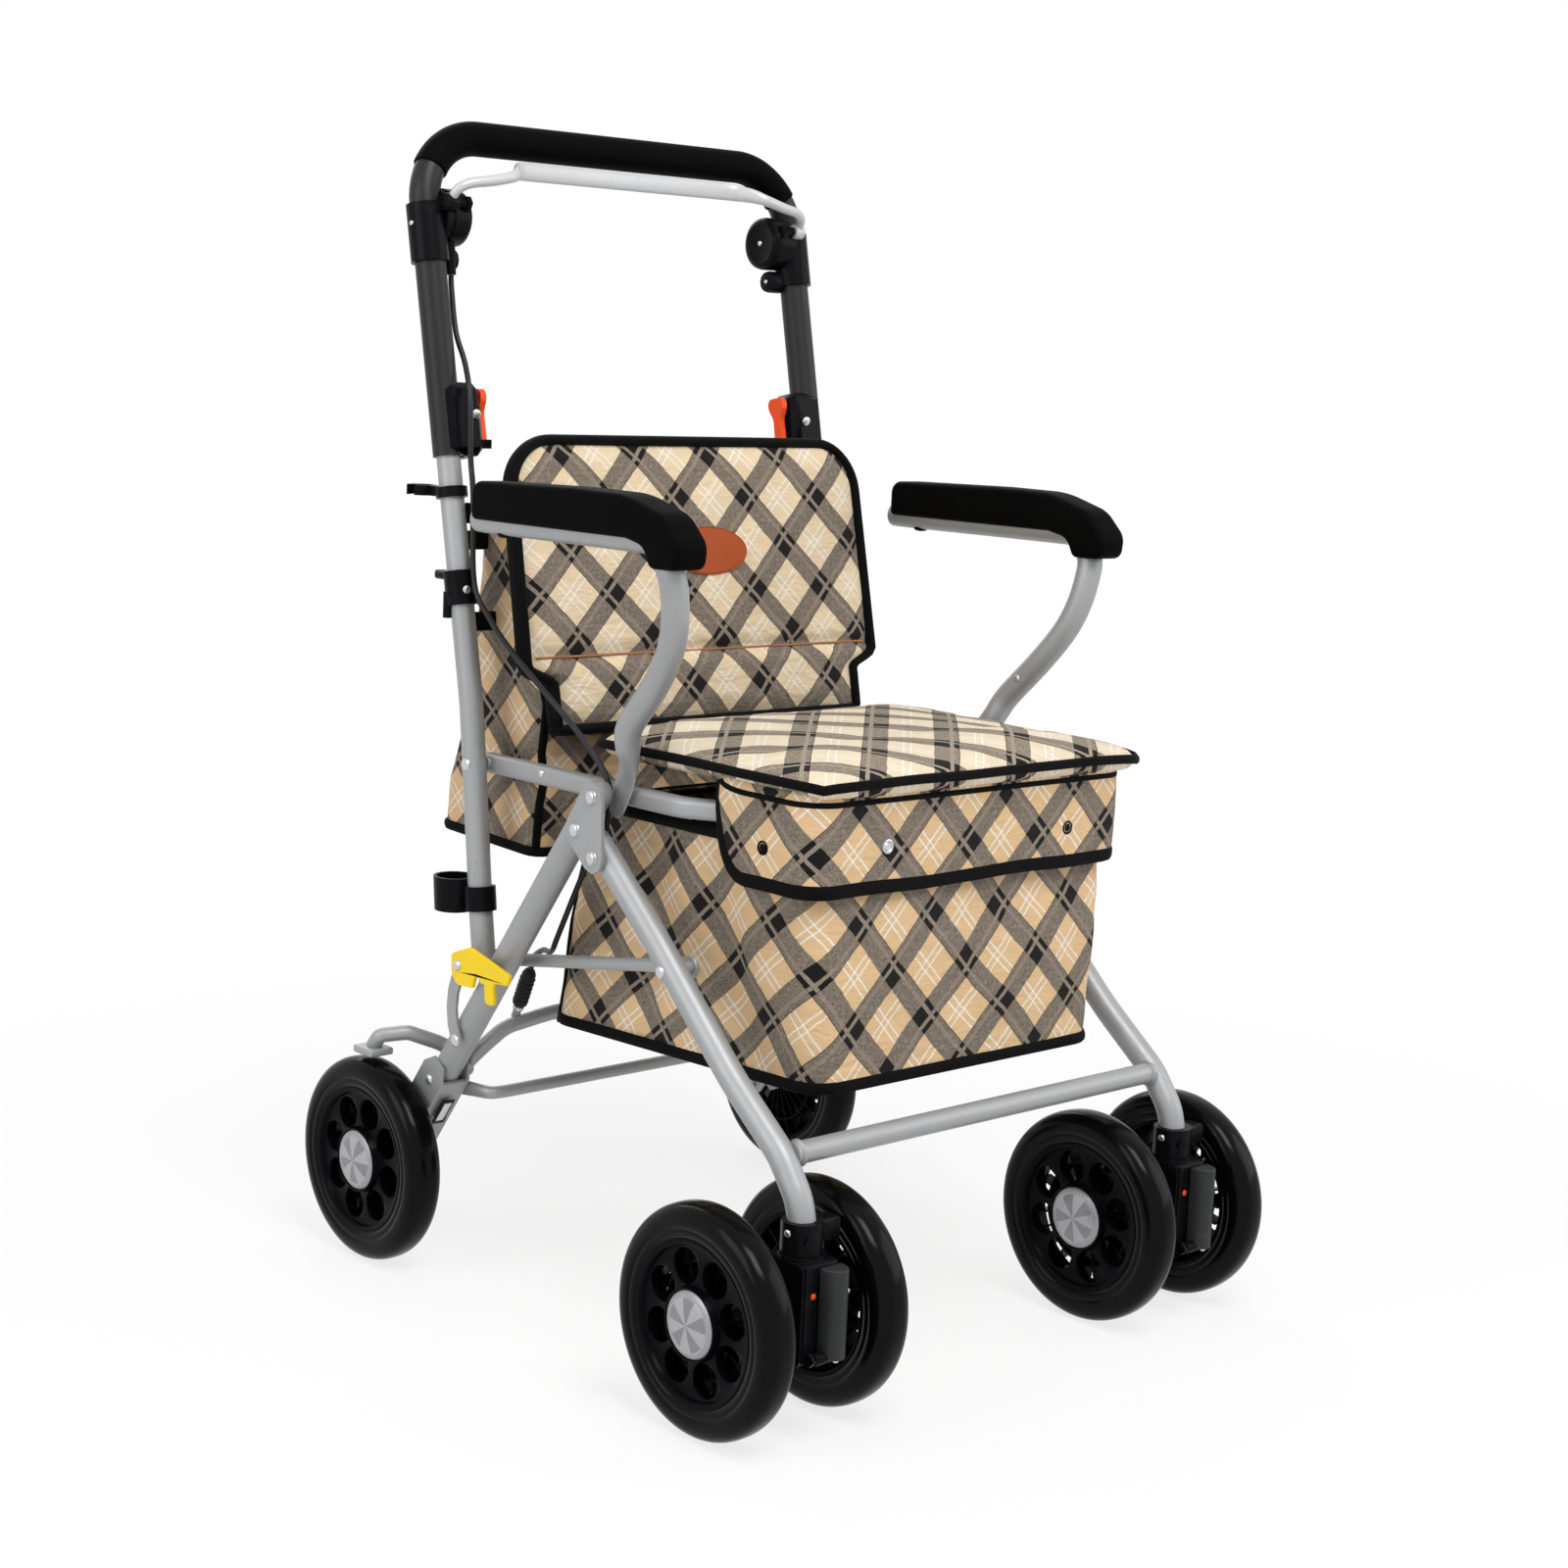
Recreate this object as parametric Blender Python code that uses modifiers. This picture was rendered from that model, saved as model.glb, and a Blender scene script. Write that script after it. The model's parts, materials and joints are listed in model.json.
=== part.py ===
"""Shopping rollator with a folding frame, a shopping bag under a padded seat and six wheels.

Metres, +Z up. The front is -Y, the user stands at +Y, and the object's right side is -X.
The origin lies on the floor under the middle of the object. A pair (y, z) is a place in
side view, and a sideways place is given as a distance from the middle plane.
"""

import math

import bmesh
import bpy
from mathutils import Matrix, Vector

GAP = 0.0003
MERGE = 0.000001
FLAT_ANGLE = math.radians(0.1)
SIDES = (("right", -1), ("left", 1))

# Pivots of the folding frame, (y, z)
SEAT_PIVOT = (-0.0287, 0.4120)
GUSSET_RIVET = (-0.0107, 0.3850)
LEG_PIVOT = (-0.0312, 0.3673)
LINK_PIVOT = (0.1303, 0.1960)
ELBOW = (0.1230, 0.2580)
UPRIGHT_PIVOT = (0.1423, 0.4110)
BRACE_PIVOT = (-0.1068, 0.2976)
PIN_RADIUS = 0.0035
PIN_PLAY = 0.0006
RIVET_RADIUS = 0.0055
RIVET_HEIGHT = 0.0018

# Tubes of the frame, with their distance from the middle plane: all of them follow the bag
BAG_TOP_HALF = 0.1600
RAIL_X = BAG_TOP_HALF + 0.0120
RAIL_FRONT_X = BAG_TOP_HALF - 0.0045
RAIL_WIDTH = 0.0140
RAIL_HEIGHT = 0.0150
RAIL_Z = 0.4100
BRACE_X = RAIL_X + 0.0030
BRACE_RADIUS = 0.0050
BRACE_EYE_X = RAIL_X + 0.0060
BRACE_EYE_HALF = 0.0020
UPRIGHT_X = RAIL_X + 0.0190
UPRIGHT_RADIUS = 0.0093
LEG_X = RAIL_X + 0.0250
REAR_LEG_RADIUS = 0.0110
FRONT_LEG_RADIUS = 0.0100

# Flat layers outside the legs
SHEET = 0.0025
GUSSET_INNER = LEG_X + REAR_LEG_RADIUS + GAP
GUSSET_THICKNESS = 0.0030
GUSSET_RADIUS = 0.0115
LINK_INNER = LEG_X + REAR_LEG_RADIUS + 0.0010
LATCH_INNER = LINK_INNER + SHEET + 0.0010
LATCH_THICKNESS = 0.0040
CATCH_STUD_Z = 0.2505

# Wheels
WHEEL_RADIUS = 0.0825
TYRE_WIDTH = 0.0300
TYRE_DEPTH = 0.0240
RIM_WIDTH = 0.0260
HUB_CAP_RADIUS = 0.0245
HUB_CAP_REACH = 0.0183
AXLE_RADIUS = 0.0040
AXLE_PLAY = 0.0006
RIM_OPENINGS = 8
TYRE_STEPS = 20
RIM_STEPS = 16
REAR_AXLE = (0.2187, 0.0825)
FRONT_AXLE = (-0.2187, 0.0825)
REAR_WHEEL_X = LEG_X + 0.0306
OUTER_WHEEL_X = LEG_X + 0.0525
INNER_WHEEL_X = LEG_X - 0.0525

# Rear legs: the axis runs straight from the seat pivot's end to the rear axle
REAR_LEG_SLOPE = (0.5850, -0.8110)
REAR_LEG_TOP_Z = 0.4201
REAR_LEG_FOOT_Z = 0.1220
BRACKET_TOP_Z = 0.1630
BRACKET_RADIUS = 0.0140
REAR_BAR = (0.1313, 0.1470)
REAR_BAR_RADIUS = 0.0050

# Front legs, centre line from beyond the pivot down to the caster, (y, z)
FRONT_LEG_BENDS = (
    (-0.0906, 0.3162),
    (-0.1775, 0.2345),
    (-0.2310, 0.1930),
    (-0.2505, 0.1665),
)
FRONT_LEG_FOOT = (-0.2545, 0.1500)
FRONT_LEG_PAST_PIVOT = 0.0150
FRONT_BAR = (-0.2345, 0.1935)
FRONT_BAR_RADIUS = 0.0080

# Casters
CASTER_Y = -0.2550
SOCKET_BOTTOM = 0.1313
SOCKET_TOP = 0.1510
SOCKET_RADIUS = 0.0150
HOUSING_TOP = 0.1285
HOUSING_WIDTH = 0.0330
HOUSING_FRONT = -0.2750
STEM_RADIUS = 0.0055
STEM_TOP = 0.1440
LOCK_PIVOT = (-0.2815, 0.0640)
LOCK_WIDTH = 0.0280
LOCK_HEIGHT = 0.0620
LOCK_DEPTH = 0.0165

# Uprights and handle: above the bend both lean back in one straight line
UPRIGHT_BEND = (0.1482, 0.4580)
UPRIGHT_KNEE = (0.1286, 0.2950)
LEAN = 0.2035
SLEEVE_ABOVE_BEND = 0.1870
HANDLE_ABOVE_SLEEVE = 0.2449
SLEEVE_BOTTOM_Z = UPRIGHT_BEND[1] + SLEEVE_ABOVE_BEND
HANDLE_Z = SLEEVE_BOTTOM_Z + HANDLE_ABOVE_SLEEVE
BORE_TOP_Z = HANDLE_Z - 0.0619
UPRIGHT_TOP_Z = BORE_TOP_Z - 0.0280
HANDLE_X = UPRIGHT_X - 0.0002
SLEEVE_RADIUS = 0.0120
BORE_RADIUS = 0.0098
HANDLE_CORNER = 0.0550
FOAM_RADIUS = 0.0135
FOAM_END_Z = HANDLE_Z - 0.0279
COLLAR_HEIGHT = 0.0560
COLLAR_X = HANDLE_X - 0.0098
COLLAR_WIDTH = 0.0340
COLLAR_DEPTH = 0.0310


def lean_y(z):
    """The y of the straight upper part of an upright at this height."""
    return UPRIGHT_BEND[0] + LEAN * (z - UPRIGHT_BEND[1])


def beside_sleeve(behind, below_handle):
    """A place (y, z) near the handle's arms, from the sleeve's line and the grip's height."""
    z = HANDLE_Z - below_handle
    return (lean_y(z) + behind, z)


# Brakes
BRAKE_DISC = beside_sleeve(0.0029, 0.0628)
BRAKE_DISC_RADIUS = 0.0215
BRAKE_DISC_INNER = HANDLE_X - 0.0308
KNOB = beside_sleeve(0.0062, 0.0949)
KNOB_RADIUS = 0.0085
BAIL_PIVOT = beside_sleeve(-0.0205, 0.0519)
BAIL_X = HANDLE_X - 0.0058
BAIL_EYE_INNER = BAIL_X - 0.0085
BAIL_EYE_OUTER = BAIL_X + 0.0015
BRAKE_BAR_PIVOT = (0.1668, 0.1610)
BRAKE_BAR_RADIUS = 0.0060
SHOE_GAP = 0.0035
CABLE_RADIUS = 0.0022
CABLE_BARREL_X = -HANDLE_X + 0.0188
CABLE_BARREL = (
    (CABLE_BARREL_X, *beside_sleeve(-0.0022, 0.0779)),
    (CABLE_BARREL_X, *beside_sleeve(0.0006, 0.1064)),
)
BOOT_X = -RAIL_X + 0.0270
BOOT_FOOT = (BOOT_X, 0.1370, 0.2150)
BOOT_TOP = (BOOT_X, 0.1240, 0.2450)

# Armrests
ARMREST_X = LEG_X + 0.0212
ARMREST_RADIUS = 0.0100
PAD_WIDTH = 0.0290
TONGUE_X = RAIL_X + 0.0117
TONGUE_HALF = 0.0020

# Cup for a walking stick's tip
CUP = (-UPRIGHT_X - 0.0040, 0.1590)
CUP_RADIUS = 0.0170
CUP_WALL = 0.0025
CUP_BOTTOM = 0.2935
CUP_HEIGHT = 0.0270

# Seat, bags and backrest
SEAT_FRONT = -0.2000
BAG_WALL = 0.0040
BAG_BOTTOM_HALF = BAG_TOP_HALF - 0.0125
BAG_FRONT = -0.2122
BAG_REAR = 0.0975
BAG_REAR_TOP = 0.0450
BAG_BOTTOM = (0.2214, 0.2110)
FLANGE_HEIGHT = 0.0047
FLAP_X = BAG_TOP_HALF + 0.0035
FLAP_WALL = 0.0030
FLAP_FRONT = -0.2150
FLAP_BOTTOM = 0.3655
LID_PIVOT = (0.0433, 0.4215)
CUSHION_HALF = BAG_TOP_HALF + 0.0125
CUSHION_FRONT = -0.2265
CUSHION_BOTTOM = 0.4270
CUSHION_TOP = 0.4660
BACKREST_FOOT = (0.0748, 0.4440)
BACKREST_HEAD = (0.1198, 0.6627)
BACKREST_THICKNESS = 0.0180
BACKREST_HALF = UPRIGHT_X - 0.0040
BACKREST_FOOT_HALF = BAG_TOP_HALF
BACKREST_STRAP = (0.5940, 0.6110)
REAR_BAG_HALF = BAG_TOP_HALF
REAR_BAG_WALL = 0.0030
REAR_BAG_BEVEL = 0.0060

for leftover in list(bpy.data.objects):
    bpy.data.objects.remove(leftover)
parts = bpy.data.collections.new("shopping_rollator")
bpy.context.scene.collection.children.link(parts)
cutters = bpy.data.collections.new("cutters")
bpy.context.scene.collection.children.link(cutters)


def material(name, colour, metallic, roughness):
    """A Principled surface of one colour."""
    made = bpy.data.materials.new(name)
    made.use_nodes = True
    shader = made.node_tree.nodes["Principled BSDF"]
    shader.inputs["Base Color"].default_value = (*colour, 1.0)
    shader.inputs["Metallic"].default_value = metallic
    shader.inputs["Roughness"].default_value = roughness
    made.diffuse_color = (*colour, 1.0)
    return made


SILVER = material("silver_paint", (0.48, 0.48, 0.50), 0.6, 0.35)
STEEL = material("bright_steel", (0.62, 0.62, 0.63), 0.9, 0.30)
BLACK_TUBE = material("black_paint", (0.02, 0.02, 0.02), 0.4, 0.40)
BLACK = material("black_plastic", (0.02, 0.02, 0.02), 0.0, 0.45)
RUBBER = material("tyre_rubber", (0.015, 0.015, 0.015), 0.0, 0.60)
FOAM = material("black_foam", (0.025, 0.025, 0.025), 0.0, 0.90)
WHITE = material("white_lever", (0.75, 0.76, 0.78), 0.1, 0.35)
ORANGE = material("orange_lever", (0.80, 0.20, 0.03), 0.0, 0.40)
YELLOW = material("yellow_latch", (0.90, 0.72, 0.03), 0.0, 0.40)
FABRIC = material("tan_plaid_cloth", (0.42, 0.27, 0.13), 0.0, 0.90)


# Building blocks


def rear_leg_y(z):
    """The y of the rear leg's axis at this height."""
    return REAR_AXLE[0] + (z - REAR_AXLE[1]) * REAR_LEG_SLOPE[0] / REAR_LEG_SLOPE[1]


LEAN_UP = Vector((0, LEAN, 1)).normalized()
LEG_DOWN = Vector((0, *REAR_LEG_SLOPE)).normalized()


def place(mesh, name="shape"):
    """An object of this mesh among the helpers."""
    obj = bpy.data.objects.new(name, mesh)
    cutters.objects.link(obj)
    obj.hide_render = True
    obj.display_type = "WIRE"
    return obj


def baked(obj):
    """The object as its modifiers leave it, welded, closed and facing out, as a plain mesh."""
    bpy.context.view_layer.update()
    graph = bpy.context.evaluated_depsgraph_get()
    mesh = bpy.data.meshes.new_from_object(obj.evaluated_get(graph))
    mesh.transform(obj.matrix_world)
    bpy.data.objects.remove(obj)
    shape = bmesh.new()
    shape.from_mesh(mesh)
    bmesh.ops.remove_doubles(shape, verts=shape.verts, dist=MERGE)
    bmesh.ops.dissolve_limit(
        shape, angle_limit=FLAT_ANGLE, verts=shape.verts, edges=shape.edges
    )
    bmesh.ops.recalc_face_normals(shape, faces=shape.faces)
    if shape.calc_volume(signed=True) < 0:
        bmesh.ops.reverse_faces(shape, faces=shape.faces)
    shape.to_mesh(mesh)
    shape.free()
    mesh.materials.clear()
    return place(mesh)


def with_modifier(obj, kind, **values):
    """The object with one more modifier, set to these values."""
    modifier = obj.modifiers.new(kind.lower(), kind)
    for key, value in values.items():
        setattr(modifier, key, value)
    return obj


def combined(body, others, operation):
    """The body with the others joined to it or cut from it, one after another."""
    for other in others:
        with_modifier(body, "BOOLEAN", operation=operation, object=other, solver="EXACT")
    made = baked(body)
    for other in others:
        bpy.data.objects.remove(other)
    return made


def joined(first, *others):
    return combined(first, others, "UNION")


def cut(body, *tools):
    return combined(body, tools, "DIFFERENCE")


def finished(name, obj, look, origin=(0, 0, 0)):
    """Makes the shape a named sub-part, with its origin where it turns or stands."""
    mesh = obj.data
    mesh.transform(Matrix.Translation(-Vector(origin)))
    mesh.shade_smooth()
    mesh.set_sharp_from_angle(angle=math.radians(38))
    mesh.materials.append(look)
    part = bpy.data.objects.new(name, mesh)
    bpy.data.objects.remove(obj)
    part.location = origin
    parts.objects.link(part)
    return part


def block(low, high, bevel=0.0, segments=2):
    """A box between two corners, with rounded edges where a bevel is given."""
    low, high = Vector(low), Vector(high)
    shape = bmesh.new()
    size = [abs(b - a) for a, b in zip(low, high)]
    middle = Matrix.Translation((low + high) / 2)
    bmesh.ops.create_cube(shape, size=1.0, matrix=middle @ Matrix.Diagonal((*size, 1)))
    mesh = bpy.data.meshes.new("block")
    shape.to_mesh(mesh)
    shape.free()
    obj = place(mesh)
    if bevel:
        with_modifier(obj, "BEVEL", width=bevel, segments=segments)
    return baked(obj)


def rod(start, end, radius, sides=8, end_radius=None):
    """A cylinder, or a cone, between two points."""
    start, end = Vector(start), Vector(end)
    along = end - start
    turn = along.to_track_quat("Z", "Y").to_matrix().to_4x4()
    shape = bmesh.new()
    bmesh.ops.create_cone(
        shape,
        cap_ends=True,
        segments=sides,
        radius1=radius,
        radius2=radius if end_radius is None else end_radius,
        depth=along.length,
        matrix=Matrix.Translation((start + end) / 2) @ turn,
    )
    mesh = bpy.data.meshes.new("rod")
    shape.to_mesh(mesh)
    shape.free()
    return place(mesh)


def cross_rod(side, centre, inner, outer, radius, sides=8):
    """A cylinder across the object at (y, z), between two distances from the middle."""
    return rod((side * inner, *centre), (side * outer, *centre), radius, sides)


def rounded(points, radius, steps=4, closed=False):
    """The path with an arc of this radius, or of a radius each, in place of its corners."""
    corners = [Vector(point).to_3d() for point in points]
    count = len(corners)
    inner = range(count) if closed else range(1, count - 1)
    path = [] if closed else [corners[0]]
    for index in inner:
        corner = corners[index]
        before = corners[index - 1]
        after = corners[(index + 1) % count]
        way_in = (corner - before).normalized()
        way_out = (after - corner).normalized()
        turn = way_in.angle(way_out)
        wanted = radius[index] if isinstance(radius, (list, tuple)) else radius
        if turn < 0.01 or wanted == 0:
            path.append(corner)
            continue
        longest = 0.49 * min((corner - before).length, (after - corner).length)
        reach = min(wanted * math.tan(turn / 2), longest)
        start = corner - way_in * reach
        arc = reach / math.tan(turn / 2)
        centre = corner + (way_out - way_in).normalized() * (arc / math.cos(turn / 2))
        axis = way_in.cross(way_out)
        for step in range(steps + 1):
            part_turn = Matrix.Rotation(turn * step / steps, 3, axis)
            path.append(centre + part_turn @ (start - centre))
    if not closed:
        path.append(corners[-1])
    return path


def tube(points, radius, resolution=3):
    """A round bar along the points, with 2 * resolution + 4 sides and flat ends."""
    curve = bpy.data.curves.new("tube", "CURVE")
    curve.dimensions = "3D"
    curve.bevel_depth = radius
    curve.bevel_resolution = resolution
    curve.use_fill_caps = True
    spline = curve.splines.new("POLY")
    spline.points.add(len(points) - 1)
    for knot, point in zip(spline.points, points):
        knot.co = (*point, 1)
    return baked(place(curve))


def flat(outlines, thickness, bevel=0.0):
    """A flat piece in its own XY plane from an outline and its holes."""
    curve = bpy.data.curves.new("flat", "CURVE")
    curve.dimensions = "2D"
    curve.fill_mode = "BOTH"
    curve.extrude = thickness / 2 - bevel
    curve.bevel_depth = bevel
    curve.bevel_resolution = 0
    curve.offset = -bevel
    for outline in outlines:
        spline = curve.splines.new("POLY")
        spline.points.add(len(outline) - 1)
        for knot, point in zip(spline.points, outline):
            knot.co = (point[0], point[1], 0, 1)
        spline.use_cyclic_u = True
    return place(curve)


def side_plate(side, outline, inner, thickness, holes=(), bevel=0.0):
    """A flat piece seen from the side: points are (y, z), and it grows outward from inner."""
    obj = flat((outline, *holes), thickness, bevel)
    obj.rotation_euler = (math.pi / 2, 0, math.pi / 2)
    obj.location.x = side * (inner + thickness / 2)
    return baked(obj)


def level_plate(outline, low, high, holes=(), bevel=0.0):
    """A flat piece seen from above, between two heights."""
    obj = flat((outline, *holes), high - low, bevel)
    obj.location.z = (low + high) / 2
    return baked(obj)


def circle(centre, radius, sides=8):
    """Points round a centre in a plane."""
    angles = [math.tau * (index + 0.5) / sides for index in range(sides)]
    return [
        (centre[0] + radius * math.cos(angle), centre[1] + radius * math.sin(angle))
        for angle in angles
    ]


def belt(centres, radius, steps=3):
    """The outline of a band stretched round equal discs, given anticlockwise."""
    outline = []
    count = len(centres)
    for index, centre in enumerate(centres):
        before = Vector(centre) - Vector(centres[index - 1])
        after = Vector(centres[(index + 1) % count]) - Vector(centre)
        start = math.atan2(-before.x, before.y)
        end = math.atan2(-after.x, after.y)
        turn = (end - start) % math.tau
        for step in range(steps + 1):
            angle = start + turn * step / steps
            outline.append(
                (centre[0] + radius * math.cos(angle), centre[1] + radius * math.sin(angle))
            )
    return outline


def swept(sections, sides=10):
    """A bar whose oval section changes: each section is (x, y, z, half width, half depth)."""
    shape = bmesh.new()
    centres = [Vector(section[:3]) for section in sections]
    rings = []
    for index, section in enumerate(sections):
        ahead = centres[min(index + 1, len(centres) - 1)]
        along = (ahead - centres[max(index - 1, 0)]).normalized()
        across = Vector((1, 0, 0))
        if abs(along.x) > 0.7:
            across = Vector((0, 0, 1))
        across = (across - along * across.dot(along)).normalized()
        deep = along.cross(across)
        ring = []
        for step in range(sides):
            angle = math.tau * (step + 0.5) / sides
            offset = across * section[3] * math.cos(angle)
            offset += deep * section[4] * math.sin(angle)
            ring.append(shape.verts.new(centres[index] + offset))
        rings.append(ring)
    return skinned(shape, rings)


def skinned(shape, rings, capped=(True, True)):
    """Faces between neighbouring rings of equal count, and over the two end rings."""
    for one, two in zip(rings, rings[1:]):
        for index in range(len(one)):
            after = (index + 1) % len(one)
            shape.faces.new((one[index], one[after], two[after], two[index]))
    if capped[0]:
        shape.faces.new(rings[0])
    if capped[1]:
        shape.faces.new(rings[-1])
    mesh = bpy.data.meshes.new("skinned")
    shape.to_mesh(mesh)
    shape.free()
    return baked(place(mesh))


def turned(profile, centre, outward, steps, closed=False):
    """A turned shape about a line across the object. The profile is (radius, reach outward)."""
    shape = bmesh.new()
    knots = [shape.verts.new((radius, 0, reach)) for radius, reach in profile]
    for one, two in zip(knots, knots[1:]):
        shape.edges.new((one, two))
    if closed:
        shape.edges.new((knots[-1], knots[0]))
    mesh = bpy.data.meshes.new("turned")
    shape.to_mesh(mesh)
    shape.free()
    obj = place(mesh)
    with_modifier(
        obj,
        "SCREW",
        steps=steps,
        render_steps=steps,
        use_merge_vertices=True,
        merge_threshold=0.00005,
        use_smooth_shade=True,
    )
    obj.rotation_euler = (0, outward * math.pi / 2, 0)
    obj.location = centre
    return baked(obj)


def ring_points(half, front, rear, corner, steps=3, spans=1):
    """A rounded rectangle seen from above, anticlockwise, with its straights in spans."""
    square = [(half, front), (half, rear), (-half, rear), (-half, front)]
    path = [(point.x, point.y) for point in rounded(square, corner, steps, closed=True)]
    full = []
    for index, point in enumerate(path):
        after = path[(index + 1) % len(path)]
        full.append(point)
        if index % (steps + 1) == steps:
            for step in range(1, spans):
                full.append(
                    tuple(a + (b - a) * step / spans for a, b in zip(point, after))
                )
    return full


def shrunk(outline, inset):
    """The outline, given anticlockwise, with each side moved inward by this much."""
    moved = []
    for index, corner in enumerate(outline):
        here = Vector(corner)
        before = (here - Vector(outline[index - 1])).normalized()
        after = (Vector(outline[(index + 1) % len(outline)]) - here).normalized()
        inward = Vector((-before.y - after.y, before.x + after.x)).normalized()
        half_turn = before.angle(after) / 2
        moved.append(tuple(here + inward * (inset / math.cos(half_turn))))
    return moved


# Wheels


def make_wheel(name, tyre_name, centre, outward):
    """One wheel: a spoked rim with its hub cap, and the tyre round it."""
    rim_radius = WHEEL_RADIUS - TYRE_DEPTH
    half = RIM_WIDTH / 2
    web = 0.0060
    bore = AXLE_RADIUS + AXLE_PLAY
    well = rim_radius - 0.0055
    profile = [
        (0, HUB_CAP_REACH),
        (HUB_CAP_RADIUS, HUB_CAP_REACH - 0.0050),
        (HUB_CAP_RADIUS, web),
        (well, web),
        (rim_radius, half),
        (rim_radius, -half),
        (well, 0),
        (HUB_CAP_RADIUS * 0.50, 0),
        (HUB_CAP_RADIUS * 0.50, -half - 0.0015),
        (bore, -half - 0.0015),
        (bore, 0.0100),
        (0, 0.0100),
    ]
    rim = turned(profile, centre, outward, RIM_STEPS)
    inner_end = HUB_CAP_RADIUS + 0.0142
    outer_end = well - 0.0117
    windows = []
    for index in range(RIM_OPENINGS):
        angle = math.tau * (index + 0.25) / RIM_OPENINGS
        way = (math.cos(angle), math.sin(angle))
        ends = [
            (centre[1] + reach * way[0], centre[2] + reach * way[1])
            for reach in (outer_end, inner_end)
        ]
        outline = belt(ends, 0.0106, steps=3)
        reach = outward * (centre[0] - outward * 0.0100)
        windows.append(side_plate(outward, outline, reach, 0.0300))
    finished(name, cut(rim, *windows), BLACK, centre)
    tread = TYRE_WIDTH / 2
    seat = (rim_radius + GAP) / math.cos(math.pi / TYRE_STEPS)
    crown = [
        (seat, tread - 0.0020),
        (WHEEL_RADIUS - 0.0100, tread),
        (WHEEL_RADIUS - 0.0020, tread * 0.60),
        (WHEEL_RADIUS, 0),
        (WHEEL_RADIUS - 0.0020, -tread * 0.60),
        (WHEEL_RADIUS - 0.0100, -tread),
        (seat, -tread + 0.0020),
    ]
    tyre = turned(crown[::-1], centre, outward, TYRE_STEPS, closed=True)
    finished(tyre_name, tyre, RUBBER, centre)


def make_wheels():
    for label, side in SIDES:
        rear = (side * REAR_WHEEL_X, *REAR_AXLE)
        make_wheel(f"rear_rim_{label}", f"rear_tyre_{label}", rear, side)
        outer = (side * OUTER_WHEEL_X, *FRONT_AXLE)
        make_wheel(f"front_rim_{label}_outer", f"front_tyre_{label}_outer", outer, side)
        inner = (side * INNER_WHEEL_X, *FRONT_AXLE)
        make_wheel(f"front_rim_{label}_inner", f"front_tyre_{label}_inner", inner, -side)


# Rear frame


def rear_leg(label, side):
    """A straight tube with a rounded, slightly flattened top and the link's pin."""
    top = Vector((side * LEG_X, rear_leg_y(REAR_LEG_TOP_Z), REAR_LEG_TOP_Z))
    foot = Vector((side * LEG_X, rear_leg_y(REAR_LEG_FOOT_Z), REAR_LEG_FOOT_Z))
    sections = []
    for step in range(5):
        angle = math.pi / 2 * (step + 0.25) / 4.25
        down = REAR_LEG_RADIUS * (1 - math.cos(angle))
        narrow = REAR_LEG_RADIUS - 0.0010 * (4 - step) / 4
        centre = top + LEG_DOWN * down
        sections.append((*centre, narrow, REAR_LEG_RADIUS * math.sin(angle)))
    sections.append((*foot, REAR_LEG_RADIUS, REAR_LEG_RADIUS))
    leg = swept(sections, 12)
    pin = cross_rod(side, LINK_PIVOT, LEG_X, LINK_INNER + SHEET + 0.0006, PIN_RADIUS)
    stud_y = rear_leg_y(CATCH_STUD_Z)
    stud = cross_rod(side, (stud_y, CATCH_STUD_Z), LEG_X, LATCH_INNER - GAP, 0.0032)
    finished(f"rear_leg_{label}", joined(leg, pin, stud), SILVER)


def wheel_bracket(label, side):
    """A folded channel round the leg's foot, slotted in front, with the rear axle."""
    top = (rear_leg_y(BRACKET_TOP_Z), BRACKET_TOP_Z)
    cheek = belt((top, REAR_AXLE), BRACKET_RADIUS)
    inner_face = LEG_X - REAR_LEG_RADIUS - GAP - SHEET
    outer_face = LEG_X + REAR_LEG_RADIUS + GAP
    forward = Vector((LEG_DOWN.z, -LEG_DOWN.y))
    web_in = REAR_LEG_RADIUS + GAP
    ends = [Vector(top), Vector(top) + LEG_DOWN.yz * 0.0800]
    web_outline = [
        ends[0] + forward * web_in,
        ends[1] + forward * web_in,
        ends[1] + forward * BRACKET_RADIUS,
        ends[0] + forward * BRACKET_RADIUS,
    ]
    web = side_plate(side, web_outline, inner_face, outer_face + SHEET - inner_face)
    inner = side_plate(side, cheek, inner_face, SHEET)
    outer = side_plate(side, cheek, outer_face, SHEET)
    hub_face = REAR_WHEEL_X - RIM_WIDTH / 2 - 0.0015
    spacer = cross_rod(side, REAR_AXLE, inner_face + SHEET / 2, hub_face - GAP, 0.0075)
    axle = cross_rod(side, REAR_AXLE, inner_face - 0.0030, REAR_WHEEL_X + 0.0085, AXLE_RADIUS)
    rivet_at = Vector(top) + LEG_DOWN.yz * 0.0080
    rivet = cross_rod(side, rivet_at, outer_face, outer_face + SHEET + 0.0008, 0.0040)
    slant = Matrix.Rotation(side * math.radians(25), 4, "Y")
    along_leg = LEG_DOWN.to_track_quat("Z", "X").to_matrix().to_4x4()
    middle = Vector((side * (LEG_X - 0.0030), *top)) + LEG_DOWN * 0.0480
    middle += Vector((0, *forward)) * web_in
    slot = block((-0.0120, -0.0080, -0.0030), (0.0120, 0.0080, 0.0030))
    slot.data.transform(Matrix.Translation(middle) @ along_leg @ slant)
    bracket = cut(joined(web, inner, outer, spacer, axle, rivet), slot)
    finished(f"wheel_bracket_{label}", bracket, SILVER)


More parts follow.
